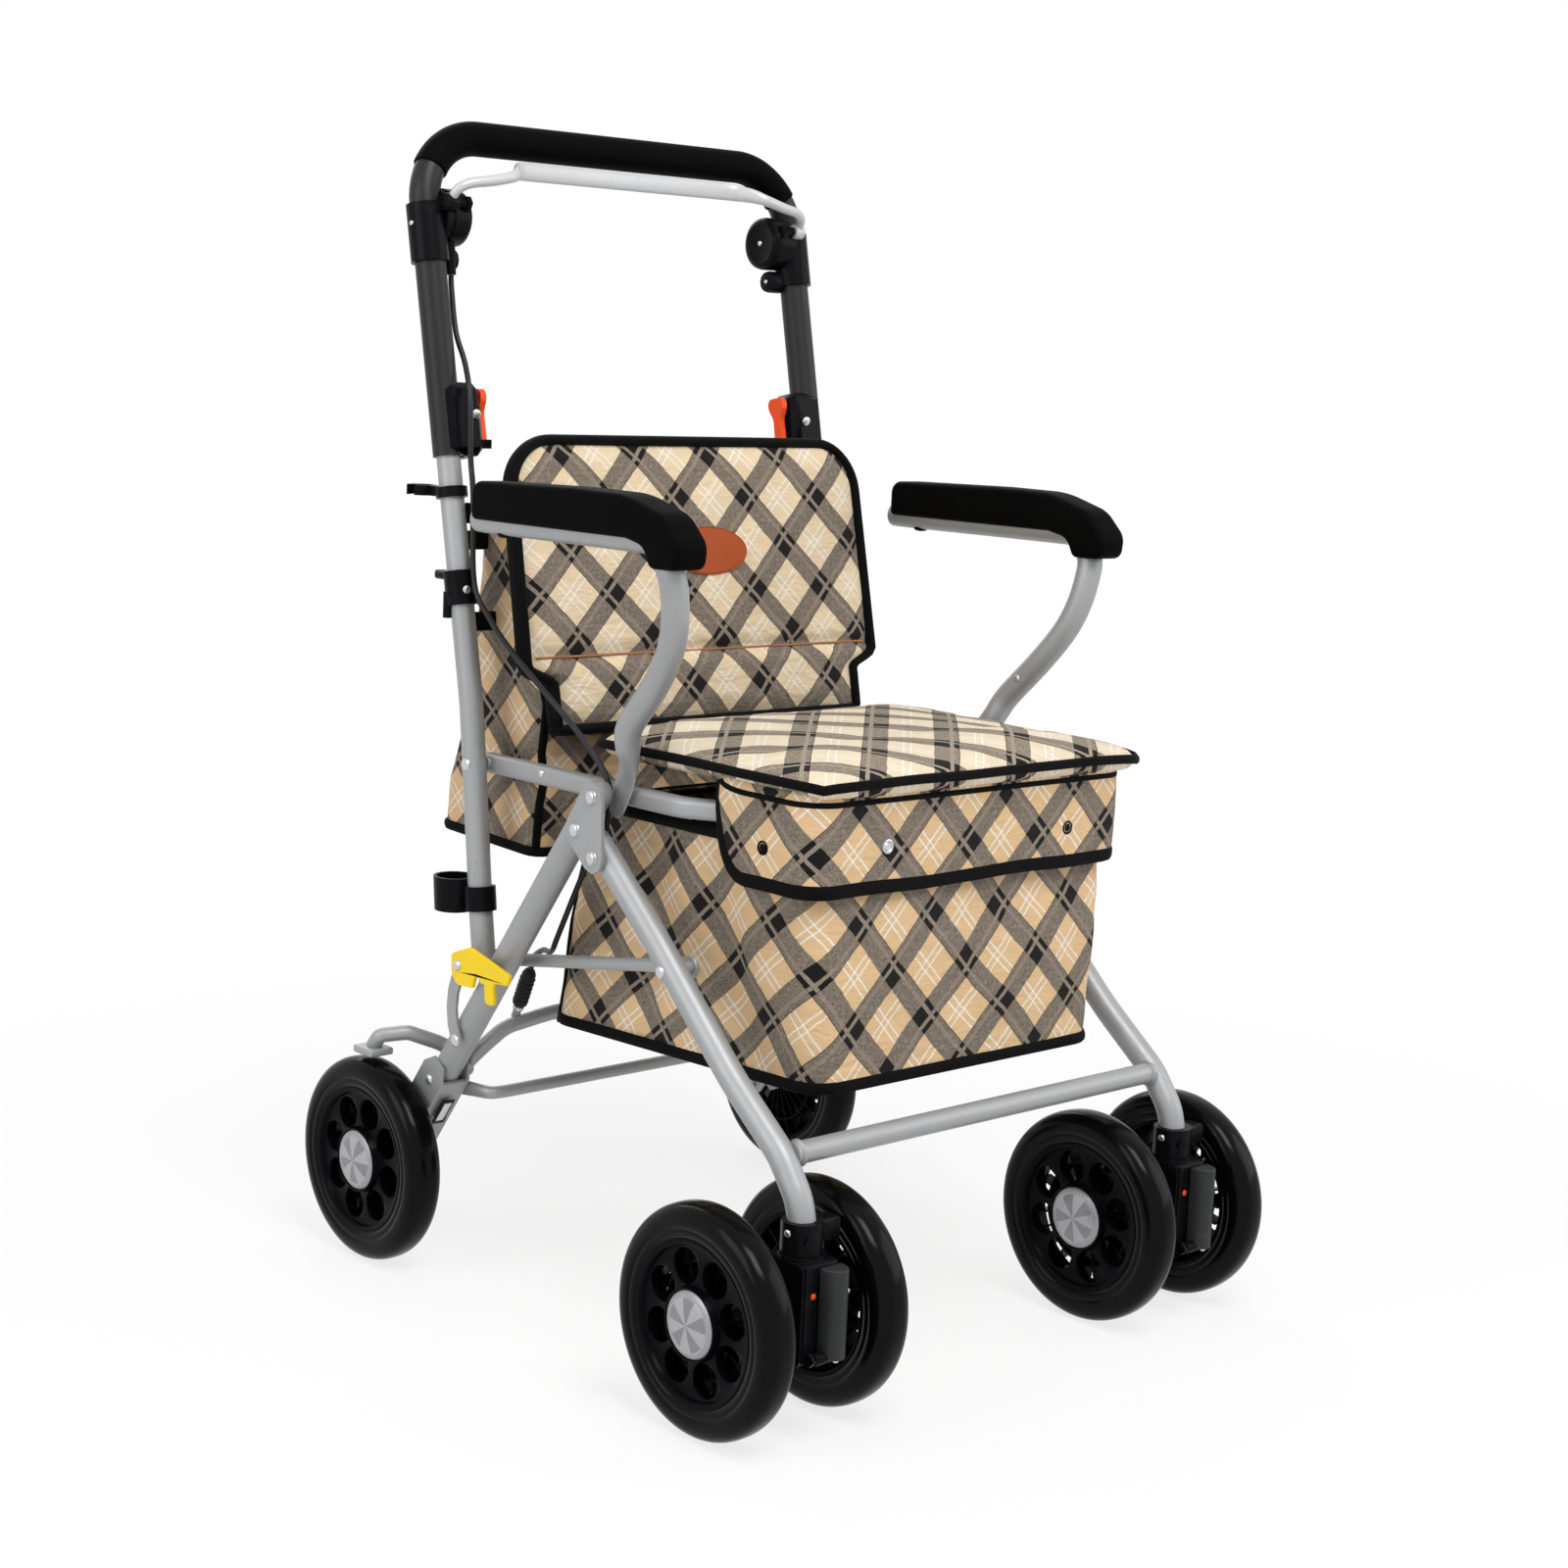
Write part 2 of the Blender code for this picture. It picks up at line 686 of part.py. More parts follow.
def rear_cross_bar():
    """A round bar with flattened ends turned back against the brackets."""
    half = LEG_X - REAR_LEG_RADIUS - SHEET - 2 * GAP - 0.0013
    back = rear_leg_y(REAR_BAR[1])
    y, z = REAR_BAR
    radius = REAR_BAR_RADIUS
    right = [
        (-half, back + 0.0060, z, 0.0013, 0.0040),
        (-half, back, z, 0.0013, 0.0062),
        (-half, back - 0.0120, z, 0.0013, 0.0062),
        (-half + 0.0030, back - 0.0220, z, 0.0025, 0.0058),
        (-half + 0.0080, y + 0.0040, z, 0.0045, 0.0052),
    ]
    arc = [
        (-half + 0.0150, y + 0.0010, z, radius, radius),
        (-half + 0.0220, y, z, radius, radius),
    ]
    across = right + arc
    mirrored = [(-x, y, z, wide, deep) for x, y, z, wide, deep in reversed(across)]
    bar = bent_bar(across + mirrored)
    finished("rear_cross_bar", bar, SILVER)


def bent_bar(sections, sides=10):
    """A bar that turns from the side view into a run across, with a steady section frame."""
    shape = bmesh.new()
    centres = [Vector(section[:3]) for section in sections]
    rings = []
    for index, section in enumerate(sections):
        ahead = centres[min(index + 1, len(centres) - 1)]
        along = (ahead - centres[max(index - 1, 0)]).normalized()
        upward = (Vector((0, 0, 1)) - along * along.z).normalized()
        across = along.cross(upward)
        ring = []
        for step in range(sides):
            angle = math.tau * (step + 0.5) / sides
            offset = across * section[3] * math.cos(angle)
            offset += upward * section[4] * math.sin(angle)
            ring.append(shape.verts.new(centres[index] + offset))
        rings.append(ring)
    return skinned(shape, rings)


def apex_gusset(label, side):
    """The plate that ties the seat pivot, a rivet and the front leg's pivot together."""
    corners = (GUSSET_RIVET, SEAT_PIVOT, LEG_PIVOT)
    outer = GUSSET_INNER + GUSSET_THICKNESS
    plate = side_plate(side, belt(corners, GUSSET_RADIUS), GUSSET_INNER, GUSSET_THICKNESS)
    pieces = []
    for centre in corners:
        pieces.append(cross_rod(side, centre, GUSSET_INNER, outer + RIVET_HEIGHT, RIVET_RADIUS, 8))
    leg_face = LEG_X + FRONT_LEG_RADIUS + GAP
    pieces.append(cross_rod(side, LEG_PIVOT, leg_face, outer, RIVET_RADIUS + 0.0010))
    inner_end = LEG_X - FRONT_LEG_RADIUS - 0.0010
    pieces.append(cross_rod(side, LEG_PIVOT, inner_end, outer, PIN_RADIUS))
    finished(f"apex_gusset_{label}", joined(plate, *pieces), SILVER)


def armrest_sections(side, extra=0.0):
    """The armrest tube from its flat tongue at the seat pivot, up, forward and back."""
    radius = ARMREST_RADIUS
    path = [
        (TONGUE_X, -0.0219, 0.3955, TONGUE_HALF, 0.0050),
        (TONGUE_X, -0.0240, 0.4005, TONGUE_HALF, 0.0085),
        (TONGUE_X, SEAT_PIVOT[0], SEAT_PIVOT[1], TONGUE_HALF, 0.0100),
        (TONGUE_X, -0.0337, 0.4240, TONGUE_HALF, 0.0105),
        (TONGUE_X + 0.0028, -0.0395, 0.4365, 0.0050, 0.0105),
        (TONGUE_X + 0.0093, -0.0460, 0.4500, 0.0090, radius),
        (TONGUE_X + 0.0148, -0.0545, 0.4670, radius, radius),
        (TONGUE_X + 0.0180, -0.0830, 0.4970, radius, radius),
        (TONGUE_X + 0.0225, -0.1040, 0.5240, radius, radius),
        (TONGUE_X + 0.0270, -0.1140, 0.5470, radius, radius),
        (ARMREST_X - 0.0030, -0.1175, 0.5700, radius, radius),
        (ARMREST_X, -0.1160, 0.5830, radius, radius),
        (ARMREST_X, -0.1100, 0.5940, radius, radius),
        (ARMREST_X, -0.1000, 0.6010, radius, radius),
        (ARMREST_X, -0.0880, 0.6030, radius, radius),
        (ARMREST_X, 0.1190, 0.6030, radius, radius),
        (ARMREST_X, 0.1215, 0.6030, radius * 0.7, radius * 0.7),
    ]
    return [(side * x, y, z, wide + extra, deep + extra) for x, y, z, wide, deep in path]


def armrest(label, side):
    """The bent tube, with the seat's pivot pin on its tongue, and the soft pad over it."""
    pipe = swept(armrest_sections(side), 8)
    pin_end = RAIL_X - RAIL_WIDTH / 2 - 0.0010
    pin = cross_rod(side, SEAT_PIVOT, pin_end, TONGUE_X, PIN_RADIUS)
    shoulder_end = RAIL_X + RAIL_WIDTH / 2 + GAP
    shoulder = cross_rod(side, SEAT_PIVOT, shoulder_end, TONGUE_X, RIVET_RADIUS)
    finished(f"armrest_tube_{label}", joined(pipe, pin, shoulder), SILVER)
    corners = [
        (0.1143, 0.6060),
        (0.1143, 0.6320),
        (-0.0187, 0.6345),
        (-0.0787, 0.6340),
        (-0.1210, 0.6220),
        (-0.1400, 0.6030),
        (-0.1377, 0.5860),
        (-0.0947, 0.5845),
        (-0.0870, 0.6000),
        (-0.0587, 0.6060),
    ]
    radii = [0.003, 0.008, 0.2, 0.10, 0.03, 0.012, 0.006, 0.005, 0.012, 0.02]
    outline = [(point.x, point.y) for point in rounded(corners, radii, 2, closed=True)]
    pad = side_plate(side, outline, ARMREST_X - PAD_WIDTH / 2, PAD_WIDTH, bevel=0.0040)
    channel = swept(armrest_sections(side, GAP * 1.6), 8)
    finished(f"armrest_pad_{label}", cut(pad, channel), FOAM)


# Front frame and casters


def front_leg_path(side):
    """Centre line from past the pivot to the caster."""
    pivot = Vector(LEG_PIVOT)
    away = (pivot - Vector(FRONT_LEG_BENDS[0])).normalized()
    top = pivot + away * FRONT_LEG_PAST_PIVOT
    corners = [top, *map(Vector, FRONT_LEG_BENDS), Vector(FRONT_LEG_FOOT)]
    corners = [(side * LEG_X, corner.x, corner.y) for corner in corners]
    return rounded(corners, [0, 0.16, 0.30, 0.06, 0.05, 0], 2)


def front_frame():
    """Both front legs, welded to the cross bar between them."""
    legs = []
    bores = []
    for label, side in SIDES:
        leg = tube(front_leg_path(side), FRONT_LEG_RADIUS, 2)
        inner = LEG_X - FRONT_LEG_RADIUS
        stop = BRACE_X + 0.0005
        pin = cross_rod(side, BRACE_PIVOT, stop, LEG_X, PIN_RADIUS)
        shoulder_end = BRACE_EYE_X + BRACE_EYE_HALF + GAP
        shoulder = cross_rod(side, BRACE_PIVOT, shoulder_end, inner + 0.0040, RIVET_RADIUS)
        legs += [leg, pin, shoulder]
        bores.append(
            cross_rod(side, LEG_PIVOT, inner - 0.01, LEG_X + 0.02, PIN_RADIUS + PIN_PLAY)
        )
    bar = rod((-LEG_X, *FRONT_BAR), (LEG_X, *FRONT_BAR), FRONT_BAR_RADIUS, 10)
    frame = cut(joined(bar, *legs), *bores)
    finished("front_frame", frame, SILVER, (0, *LEG_PIVOT))


def fold_brace(label, side):
    """A thin bar with flat eyes, from the elbow to the front leg."""
    rear = Vector(ELBOW)
    front = Vector(BRACE_PIVOT)
    way = (front - rear).normalized()
    eye = 0.0085
    plan = [
        (rear - way * eye * 0.85, BRACE_EYE_X, BRACE_EYE_HALF, eye * 0.45),
        (rear - way * eye * 0.55, BRACE_EYE_X, BRACE_EYE_HALF, eye * 0.85),
        (rear, BRACE_EYE_X, BRACE_EYE_HALF, eye),
        (rear + way * 0.0100, BRACE_EYE_X, BRACE_EYE_HALF, eye * 0.85),
        (rear + way * 0.0220, BRACE_X, BRACE_RADIUS, BRACE_RADIUS),
        (front - way * 0.0220, BRACE_X, BRACE_RADIUS, BRACE_RADIUS),
        (front - way * 0.0100, BRACE_EYE_X, BRACE_EYE_HALF, eye * 0.85),
        (front, BRACE_EYE_X, BRACE_EYE_HALF, eye),
        (front + way * eye * 0.55, BRACE_EYE_X, BRACE_EYE_HALF, eye * 0.85),
        (front + way * eye * 0.85, BRACE_EYE_X, BRACE_EYE_HALF, eye * 0.45),
    ]
    sections = [(side * x, at.x, at.y, wide, deep) for at, x, wide, deep in plan]
    bore = cross_rod(
        side, BRACE_PIVOT, BRACE_X - 0.0150, BRACE_X + 0.0150, PIN_RADIUS + PIN_PLAY
    )
    brace = cut(swept(sections), bore)
    finished(f"fold_brace_{label}", brace, SILVER, (side * BRACE_X, *BRACE_PIVOT))


def caster_collar(label, side):
    """The socket clamped under the leg's foot, with its screw and a small stop wing."""
    x = side * LEG_X
    body = rod((x, CASTER_Y, SOCKET_BOTTOM), (x, CASTER_Y, SOCKET_TOP + 0.0030), SOCKET_RADIUS, 14)
    wing = block(
        (x - side * 0.0320, CASTER_Y - 0.0060, SOCKET_BOTTOM + 0.0050),
        (x - side * 0.0080, CASTER_Y + 0.0100, SOCKET_TOP + 0.0010),
        0.0020,
        1,
    )
    head_at = (x + side * 0.0060, CASTER_Y - SOCKET_RADIUS * 0.7, SOCKET_TOP - 0.0080)
    head_end = (x + side * 0.0090, CASTER_Y - SOCKET_RADIUS - 0.0025, SOCKET_TOP - 0.0080)
    screw = rod(head_at, head_end, 0.0030, 10)
    leg = tube(front_leg_path(side), FRONT_LEG_RADIUS + 2 * GAP, 2)
    bore = rod(
        (x, CASTER_Y, SOCKET_BOTTOM - 0.0050),
        (x, CASTER_Y, STEM_TOP + GAP),
        STEM_RADIUS + 2 * GAP,
        12,
    )
    floor = rod(
        (x, FRONT_LEG_FOOT[0], FRONT_LEG_FOOT[1] - GAP),
        (x, FRONT_LEG_FOOT[0], SOCKET_TOP),
        FRONT_LEG_RADIUS + 2 * GAP,
        12,
    )
    collar = cut(joined(body, wing, screw), leg, floor, bore)
    finished(f"caster_collar_{label}", collar, BLACK)


def caster_housing(label, side):
    """The fork body between the twin wheels, with its stem above and axle across."""
    x = side * LEG_X
    half = HOUSING_WIDTH / 2
    corners = [
        (HOUSING_FRONT, HOUSING_TOP),
        (HOUSING_FRONT, 0.0560),
        (-0.2300, 0.0590),
        (-0.2080, 0.0660),
        (-0.2010, 0.0860),
        (-0.2080, 0.1050),
        (-0.2330, HOUSING_TOP),
    ]
    radii = [0.004, 0.006, 0.03, 0.012, 0.014, 0.02, 0.008]
    outline = [(point.x, point.y) for point in rounded(corners, radii, 2, closed=True)]
    body = side_plate(side, outline, LEG_X - half, HOUSING_WIDTH, bevel=0.0)
    ring = rod((x, CASTER_Y, HOUSING_TOP - 0.0020), (x, CASTER_Y, SOCKET_BOTTOM - GAP), 0.0165, 14)
    stem = rod((x, CASTER_Y, HOUSING_TOP), (x, CASTER_Y, STEM_TOP), STEM_RADIUS, 12)
    outer_hub = OUTER_WHEEL_X - RIM_WIDTH / 2 - 0.0015 - GAP
    inner_hub = INNER_WHEEL_X + RIM_WIDTH / 2 + 0.0015 + GAP
    boss = cross_rod(side, FRONT_AXLE, inner_hub, outer_hub, 0.0100, 10)
    axle = cross_rod(side, FRONT_AXLE, INNER_WHEEL_X - 0.0085, OUTER_WHEEL_X + 0.0085, AXLE_RADIUS)
    ears = []
    for inner in (LEG_X - 0.0135, LEG_X + 0.0105):
        ear = belt((LOCK_PIVOT, (HOUSING_FRONT + 0.0040, LOCK_PIVOT[1])), 0.0048, 2)
        ears.append(side_plate(side, ear, inner, 0.0030))
    pin = cross_rod(side, LOCK_PIVOT, LEG_X - 0.0120, LEG_X + 0.0120, 0.0020, 10)
    housing = joined(body, ring, stem, boss, axle, *ears, pin)
    finished(f"caster_housing_{label}", housing, BLACK, (x, CASTER_Y, SOCKET_BOTTOM))


def lock_lever(label, side):
    """The half-round swivel lock in front of the housing, hinged at its lower end."""
    back = HOUSING_FRONT - GAP
    front = back - LOCK_DEPTH
    half = LOCK_WIDTH / 2
    arc = [
        (side * LEG_X + half * math.cos(angle), back - LOCK_DEPTH * math.sin(angle))
        for angle in (math.pi * step / 10 for step in range(11))
    ]
    bottom = LOCK_PIVOT[1] + 0.0020
    shell = level_plate(arc, bottom, bottom + LOCK_HEIGHT, bevel=0.0)
    hollow = block(
        (side * LEG_X - half + 0.0030, front + 0.0040, LOCK_PIVOT[1] + 0.0070),
        (side * LEG_X + half - 0.0030, back + 0.0050, bottom + LOCK_HEIGHT - 0.0080),
    )
    barrel = cross_rod(side, LOCK_PIVOT, LEG_X - 0.0100, LEG_X + 0.0100, 0.0045, 12)
    notches = []
    for inner in (LEG_X - 0.0135 - GAP, LEG_X + 0.0105 - GAP):
        room = belt((LOCK_PIVOT, (HOUSING_FRONT + 0.0040, LOCK_PIVOT[1])), 0.0062, 2)
        notches.append(side_plate(side, room, inner, 0.0030 + 2 * GAP))
    bore = cross_rod(side, LOCK_PIVOT, LEG_X - 0.0200, LEG_X + 0.0200, 0.0026, 10)
    lever = cut(joined(shell, barrel), hollow, *notches, bore)
    finished(f"lock_lever_{label}", lever, BLACK, (side * LEG_X, *LOCK_PIVOT))


# Seat frame, link and latch


def seat_frame():
    """The U-shaped rail that carries the seat and the bag, with the uprights' pins."""
    rear = UPRIGHT_PIVOT[0] + 0.0080
    half = [
        (-RAIL_X, rear),
        (-RAIL_X, -0.0850),
        (-RAIL_FRONT_X, -0.1120),
        (-RAIL_FRONT_X, SEAT_FRONT),
    ]
    corners = half + [(-x, y) for x, y in reversed(half)]
    radii = [0, 0.03, 0.03, 0.025, 0.025, 0.03, 0.03, 0]
    path = rounded([(x, y, RAIL_Z) for x, y in corners], radii, 1)
    curve = bpy.data.curves.new("rail", "CURVE")
    curve.dimensions = "3D"
    spline = curve.splines.new("POLY")
    spline.points.add(len(path) - 1)
    for knot, point in zip(spline.points, path):
        knot.co = (*point, 1)
    box = [
        (-RAIL_WIDTH / 2, -RAIL_HEIGHT / 2),
        (RAIL_WIDTH / 2, -RAIL_HEIGHT / 2),
        (RAIL_WIDTH / 2, RAIL_HEIGHT / 2),
        (-RAIL_WIDTH / 2, RAIL_HEIGHT / 2),
    ]
    section = bpy.data.curves.new("section", "CURVE")
    section.dimensions = "2D"
    edge = section.splines.new("POLY")
    around = rounded(box, 0.0045, 1, closed=True)
    edge.points.add(len(around) - 1)
    for knot, point in zip(edge.points, around):
        knot.co = (point.x, point.y, 0, 1)
    edge.use_cyclic_u = True
    guide = place(section)
    curve.bevel_mode = "OBJECT"
    curve.bevel_object = guide
    curve.use_fill_caps = True
    rail = baked(place(curve))
    bpy.data.objects.remove(guide)
    pins = []
    bores = []
    for label, side in SIDES:
        face = UPRIGHT_X - UPRIGHT_RADIUS - GAP
        pins.append(cross_rod(side, UPRIGHT_PIVOT, RAIL_X, face, RIVET_RADIUS))
        pins.append(cross_rod(side, UPRIGHT_PIVOT, RAIL_X, UPRIGHT_X + 0.0080, PIN_RADIUS))
        bores.append(
            cross_rod(side, SEAT_PIVOT, RAIL_X - 0.02, RAIL_X + 0.02, PIN_RADIUS + PIN_PLAY)
        )
    frame = cut(joined(rail, *pins), *bores)
    finished("seat_frame", frame, SILVER, (0, *SEAT_PIVOT))


def fold_link(label, side):
    """The banana-shaped link between the rear leg and the elbow, with the latch's pin."""
    low = Vector(LINK_PIVOT)
    high = Vector(ELBOW)
    half = (high - low).length / 2
    way = (high - low).normalized()
    back = Vector((way.y, -way.x))
    bulge = 0.0100
    arc = (half * half + bulge * bulge) / (2 * bulge)
    centre = (low + high) / 2 - back * (arc - bulge)
    spread = math.asin(half / arc)
    middle = math.atan2(back.y, back.x)
    width = 0.0060
    outline = []
    for step in range(6):
        angle = middle - spread + 2 * spread * step / 5
        point = centre + Vector((math.cos(angle), math.sin(angle))) * (arc + width)
        outline.append(tuple(point))
    outline += end_arc(high, middle + spread, width)
    for step in range(6):
        angle = middle + spread - 2 * spread * step / 5
        point = centre + Vector((math.cos(angle), math.sin(angle))) * (arc - width)
        outline.append(tuple(point))
    outline += end_arc(low, middle - spread + math.pi, width)
    bore = circle(LINK_PIVOT, PIN_RADIUS + PIN_PLAY)
    plate = side_plate(side, outline, LINK_INNER, SHEET, (bore,))
    outer = LINK_INNER + SHEET
    shoulder = cross_rod(side, ELBOW, LINK_INNER, LATCH_INNER - GAP, RIVET_RADIUS)
    pin_end = LATCH_INNER + LATCH_THICKNESS + 0.0010
    pin = cross_rod(side, ELBOW, outer - 0.0010, pin_end, PIN_RADIUS)
    link = joined(plate, shoulder, pin)
    finished(f"fold_link_{label}", link, SILVER, (side * LINK_INNER, *LINK_PIVOT))


def end_arc(centre, start, radius, steps=5):
    """The round end of a strip, without its two outermost points."""
    return [
        (
            centre[0] + radius * math.cos(start + math.pi * step / steps),
            centre[1] + radius * math.sin(start + math.pi * step / steps),
        )
        for step in range(1, steps)
    ]


def latch(label, side):
    """The yellow catch on the link's pin, which drops over the stud on the rear leg."""
    stud = (rear_leg_y(CATCH_STUD_Z), CATCH_STUD_Z)
    corners = [
        (0.1320, 0.2660),
        (0.1085, 0.2750),
        (0.0560, 0.2625),
        (0.0600, 0.2540),
        (0.0770, 0.2530),
        (0.0755, 0.2350),
        (0.0870, 0.2345),
        (0.0885, 0.2500),
        (0.0950, 0.2500),
        (0.0990, 0.2440),
        (0.1240, 0.2425),
        (0.1310, 0.2500),
    ]
    radii = [0.004, 0.010, 0.003, 0.003, 0.003, 0.003, 0.004, 0, 0, 0.004, 0.006, 0.006]
    outline = [(point.x, point.y) for point in rounded(corners, radii, 2, closed=True)]
    bore = circle(ELBOW, PIN_RADIUS + PIN_PLAY)
    plate = side_plate(side, outline, LATCH_INNER, LATCH_THICKNESS, (bore,))
    around = Vector(stud) - Vector(ELBOW)
    down = Vector((-around.y, around.x)).normalized()
    if down.y > 0:
        down = -down
    mouth = Vector(stud) + down * 0.0200
    outline = (Vector(stud), mouth)
    slot = side_plate(side, belt(outline, 0.0042), LATCH_INNER - 0.002, 0.0080)
    finished(f"latch_{label}", cut(plate, slot), YELLOW, (side * LATCH_INNER, *ELBOW))


# Uprights, handle and brakes


def upright(label, side):
    """The bent inner tube of the handle, from the elbow up into its sleeve."""
    knee = Vector(UPRIGHT_KNEE)
    down = (Vector(ELBOW) - knee).normalized()
    foot = Vector(ELBOW) + down * 0.0090
    corners = [foot, knee, Vector(UPRIGHT_BEND), Vector((lean_y(UPRIGHT_TOP_Z), UPRIGHT_TOP_Z))]
    corners = [(side * UPRIGHT_X, point.x, point.y) for point in corners]
    pipe = tube(rounded(corners, [0, 0.3, 0.3, 0], 2), UPRIGHT_RADIUS)
    brace_face = BRACE_EYE_X + BRACE_EYE_HALF + GAP
    boss = cross_rod(side, ELBOW, brace_face, LINK_INNER - GAP, RIVET_RADIUS + 0.0010)
    bore = cross_rod(
        side, UPRIGHT_PIVOT, UPRIGHT_X - 0.0200, UPRIGHT_X + 0.0200, PIN_RADIUS + PIN_PLAY
    )
    made = cut(joined(pipe, boss), bore)
    finished(f"upright_{label}", made, SILVER, (side * UPRIGHT_X, *UPRIGHT_PIVOT))


def handle_path(low):
    """The centre line of the U-shaped handle, down to this height on both sides."""
    corners = [
        (-HANDLE_X, lean_y(low), low),
        (-HANDLE_X, lean_y(HANDLE_Z), HANDLE_Z),
        (HANDLE_X, lean_y(HANDLE_Z), HANDLE_Z),
        (HANDLE_X, lean_y(low), low),
    ]
    return rounded(corners, HANDLE_CORNER, 4)


def handle_tube():
    """The U-shaped outer tube, bored at both ends for the uprights."""
    pipe = tube(handle_path(SLEEVE_BOTTOM_Z), SLEEVE_RADIUS)
    bores = []
    for label, side in SIDES:
        low = SLEEVE_BOTTOM_Z - 0.0200
        start = (side * UPRIGHT_X, lean_y(low), low)
        end = (side * UPRIGHT_X, lean_y(BORE_TOP_Z), BORE_TOP_Z)
        bores.append(rod(start, end, BORE_RADIUS, 16))
    made = cut(pipe, *bores)
    finished("handle_tube", made, BLACK_TUBE)


def foam_grip():
    """The foam over the top of the handle and its two corners."""
    outer = tube(handle_path(SLEEVE_BOTTOM_Z), FOAM_RADIUS)
    inner = tube(handle_path(SLEEVE_BOTTOM_Z), SLEEVE_RADIUS + GAP)
    wide = HANDLE_X + 0.0500
    below = block((-wide, 0, SLEEVE_BOTTOM_Z - 0.0500), (wide, 0.4000, FOAM_END_Z))
    finished("foam_grip", cut(outer, inner, below), FOAM)


def sleeve_frame(x, z):
    """A local frame on the handle tube: Z runs up the tube and X across the object."""
    turn = Matrix.Rotation(-math.atan(LEAN), 4, "X")
    return Matrix.Translation((x, lean_y(z), z)) @ turn


def tilted_block(frame, low, high, bevel=0.0, segments=2):
    """A block in a local frame."""
    obj = block(low, high, bevel, segments)
    obj.data.transform(frame)
    return obj


def handle_collar(label, side):
    """The clamp block round the sleeve's lower end, with its screw boss."""
    frame = sleeve_frame(side * HANDLE_X, SLEEVE_BOTTOM_Z)
    inner = side * (COLLAR_X - HANDLE_X - COLLAR_WIDTH / 2)
    outer = side * (COLLAR_X - HANDLE_X + COLLAR_WIDTH / 2)
    low = (min(inner, outer), -COLLAR_DEPTH / 2, -0.0010)
    high = (max(inner, outer), COLLAR_DEPTH / 2, COLLAR_HEIGHT)
    body = tilted_block(frame, low, high, 0.0060, 1)
    boss_at = Vector((side * (COLLAR_X - HANDLE_X - 0.0070), -COLLAR_DEPTH / 2 + 0.0020, 0.0330))
    boss_end = boss_at + Vector((0, -0.0032, 0))
    boss = rod(frame @ boss_at, frame @ boss_end, 0.0055, 12)
    shift = Vector((0, 0, 0.1))
    bore = rod(frame @ -shift, frame @ shift, SLEEVE_RADIUS + 2 * GAP, 16)
    hinge = clamp_pivot(side)
    pin = rod(hinge - Vector((0, 0.0100, 0)), hinge + Vector((0, 0.0100, 0)), 0.0020, 10)
    ears = []
    for reach in (-0.0100, 0.0070):
        near = side * (COLLAR_X - COLLAR_WIDTH / 2 + 0.0030)
        ear_low = (min(near, hinge.x - side * 0.0030), hinge.y + reach, hinge.z - 0.0035)
        ear_high = (max(near, hinge.x - side * 0.0030), hinge.y + reach + 0.0030, hinge.z + 0.0035)
        ears.append(block(ear_low, ear_high))
    collar = joined(cut(body, bore), boss, pin, *ears)
    finished(f"handle_collar_{label}", collar, BLACK)


def clamp_pivot(side):
    """The hinge of the height clamp's lever, on the collar's inner face."""
    z = SLEEVE_BOTTOM_Z + 0.0100
    return Vector((side * (COLLAR_X - COLLAR_WIDTH / 2 - 0.0052), lean_y(z), z))


def clamp_lever(label, side):
    """The orange lever that clamps the handle's height, flipped inward to open."""
    pivot = clamp_pivot(side)
    length = 0.0420
    outline = [
        (-0.0045, -0.0016),
        (0.0045, -0.0016),
        (0.0045, 0.0120),
        (0.0040, 0.0240),
        (0.0085, 0.0320),
        (0.0095, length - 0.0040),
        (0.0060, length),
        (-0.0060, length),
        (-0.0095, length - 0.0040),
        (-0.0085, 0.0320),
        (-0.0040, 0.0240),
        (-0.0045, 0.0120),
    ]
    radii = [0.002, 0.002, 0.01, 0.01, 0.004, 0.004, 0.003, 0.003, 0.004, 0.004, 0.01, 0.01]
    path = [(point.x, point.y) for point in rounded(outline, radii, 2, closed=True)]
    obj = flat((path,), 0.0055, 0.0)
    obj.matrix_world = (
        Matrix.Translation(pivot)
        @ Matrix.Rotation(-math.atan(LEAN), 4, "X")
        @ Matrix.Rotation(math.pi / 2, 4, "Z")
        @ Matrix.Rotation(math.pi / 2, 4, "X")
    )
    plate = baked(obj)
    start = pivot - Vector((0, 0.0062, 0))
    end = pivot + Vector((0, 0.0062, 0))
    barrel = rod(start, end, 0.0036, 12)
    bore = rod(pivot - Vector((0, 0.02, 0)), pivot + Vector((0, 0.02, 0)), 0.0026, 10)
    finished(f"clamp_lever_{label}", cut(joined(plate, barrel), bore), ORANGE, pivot)


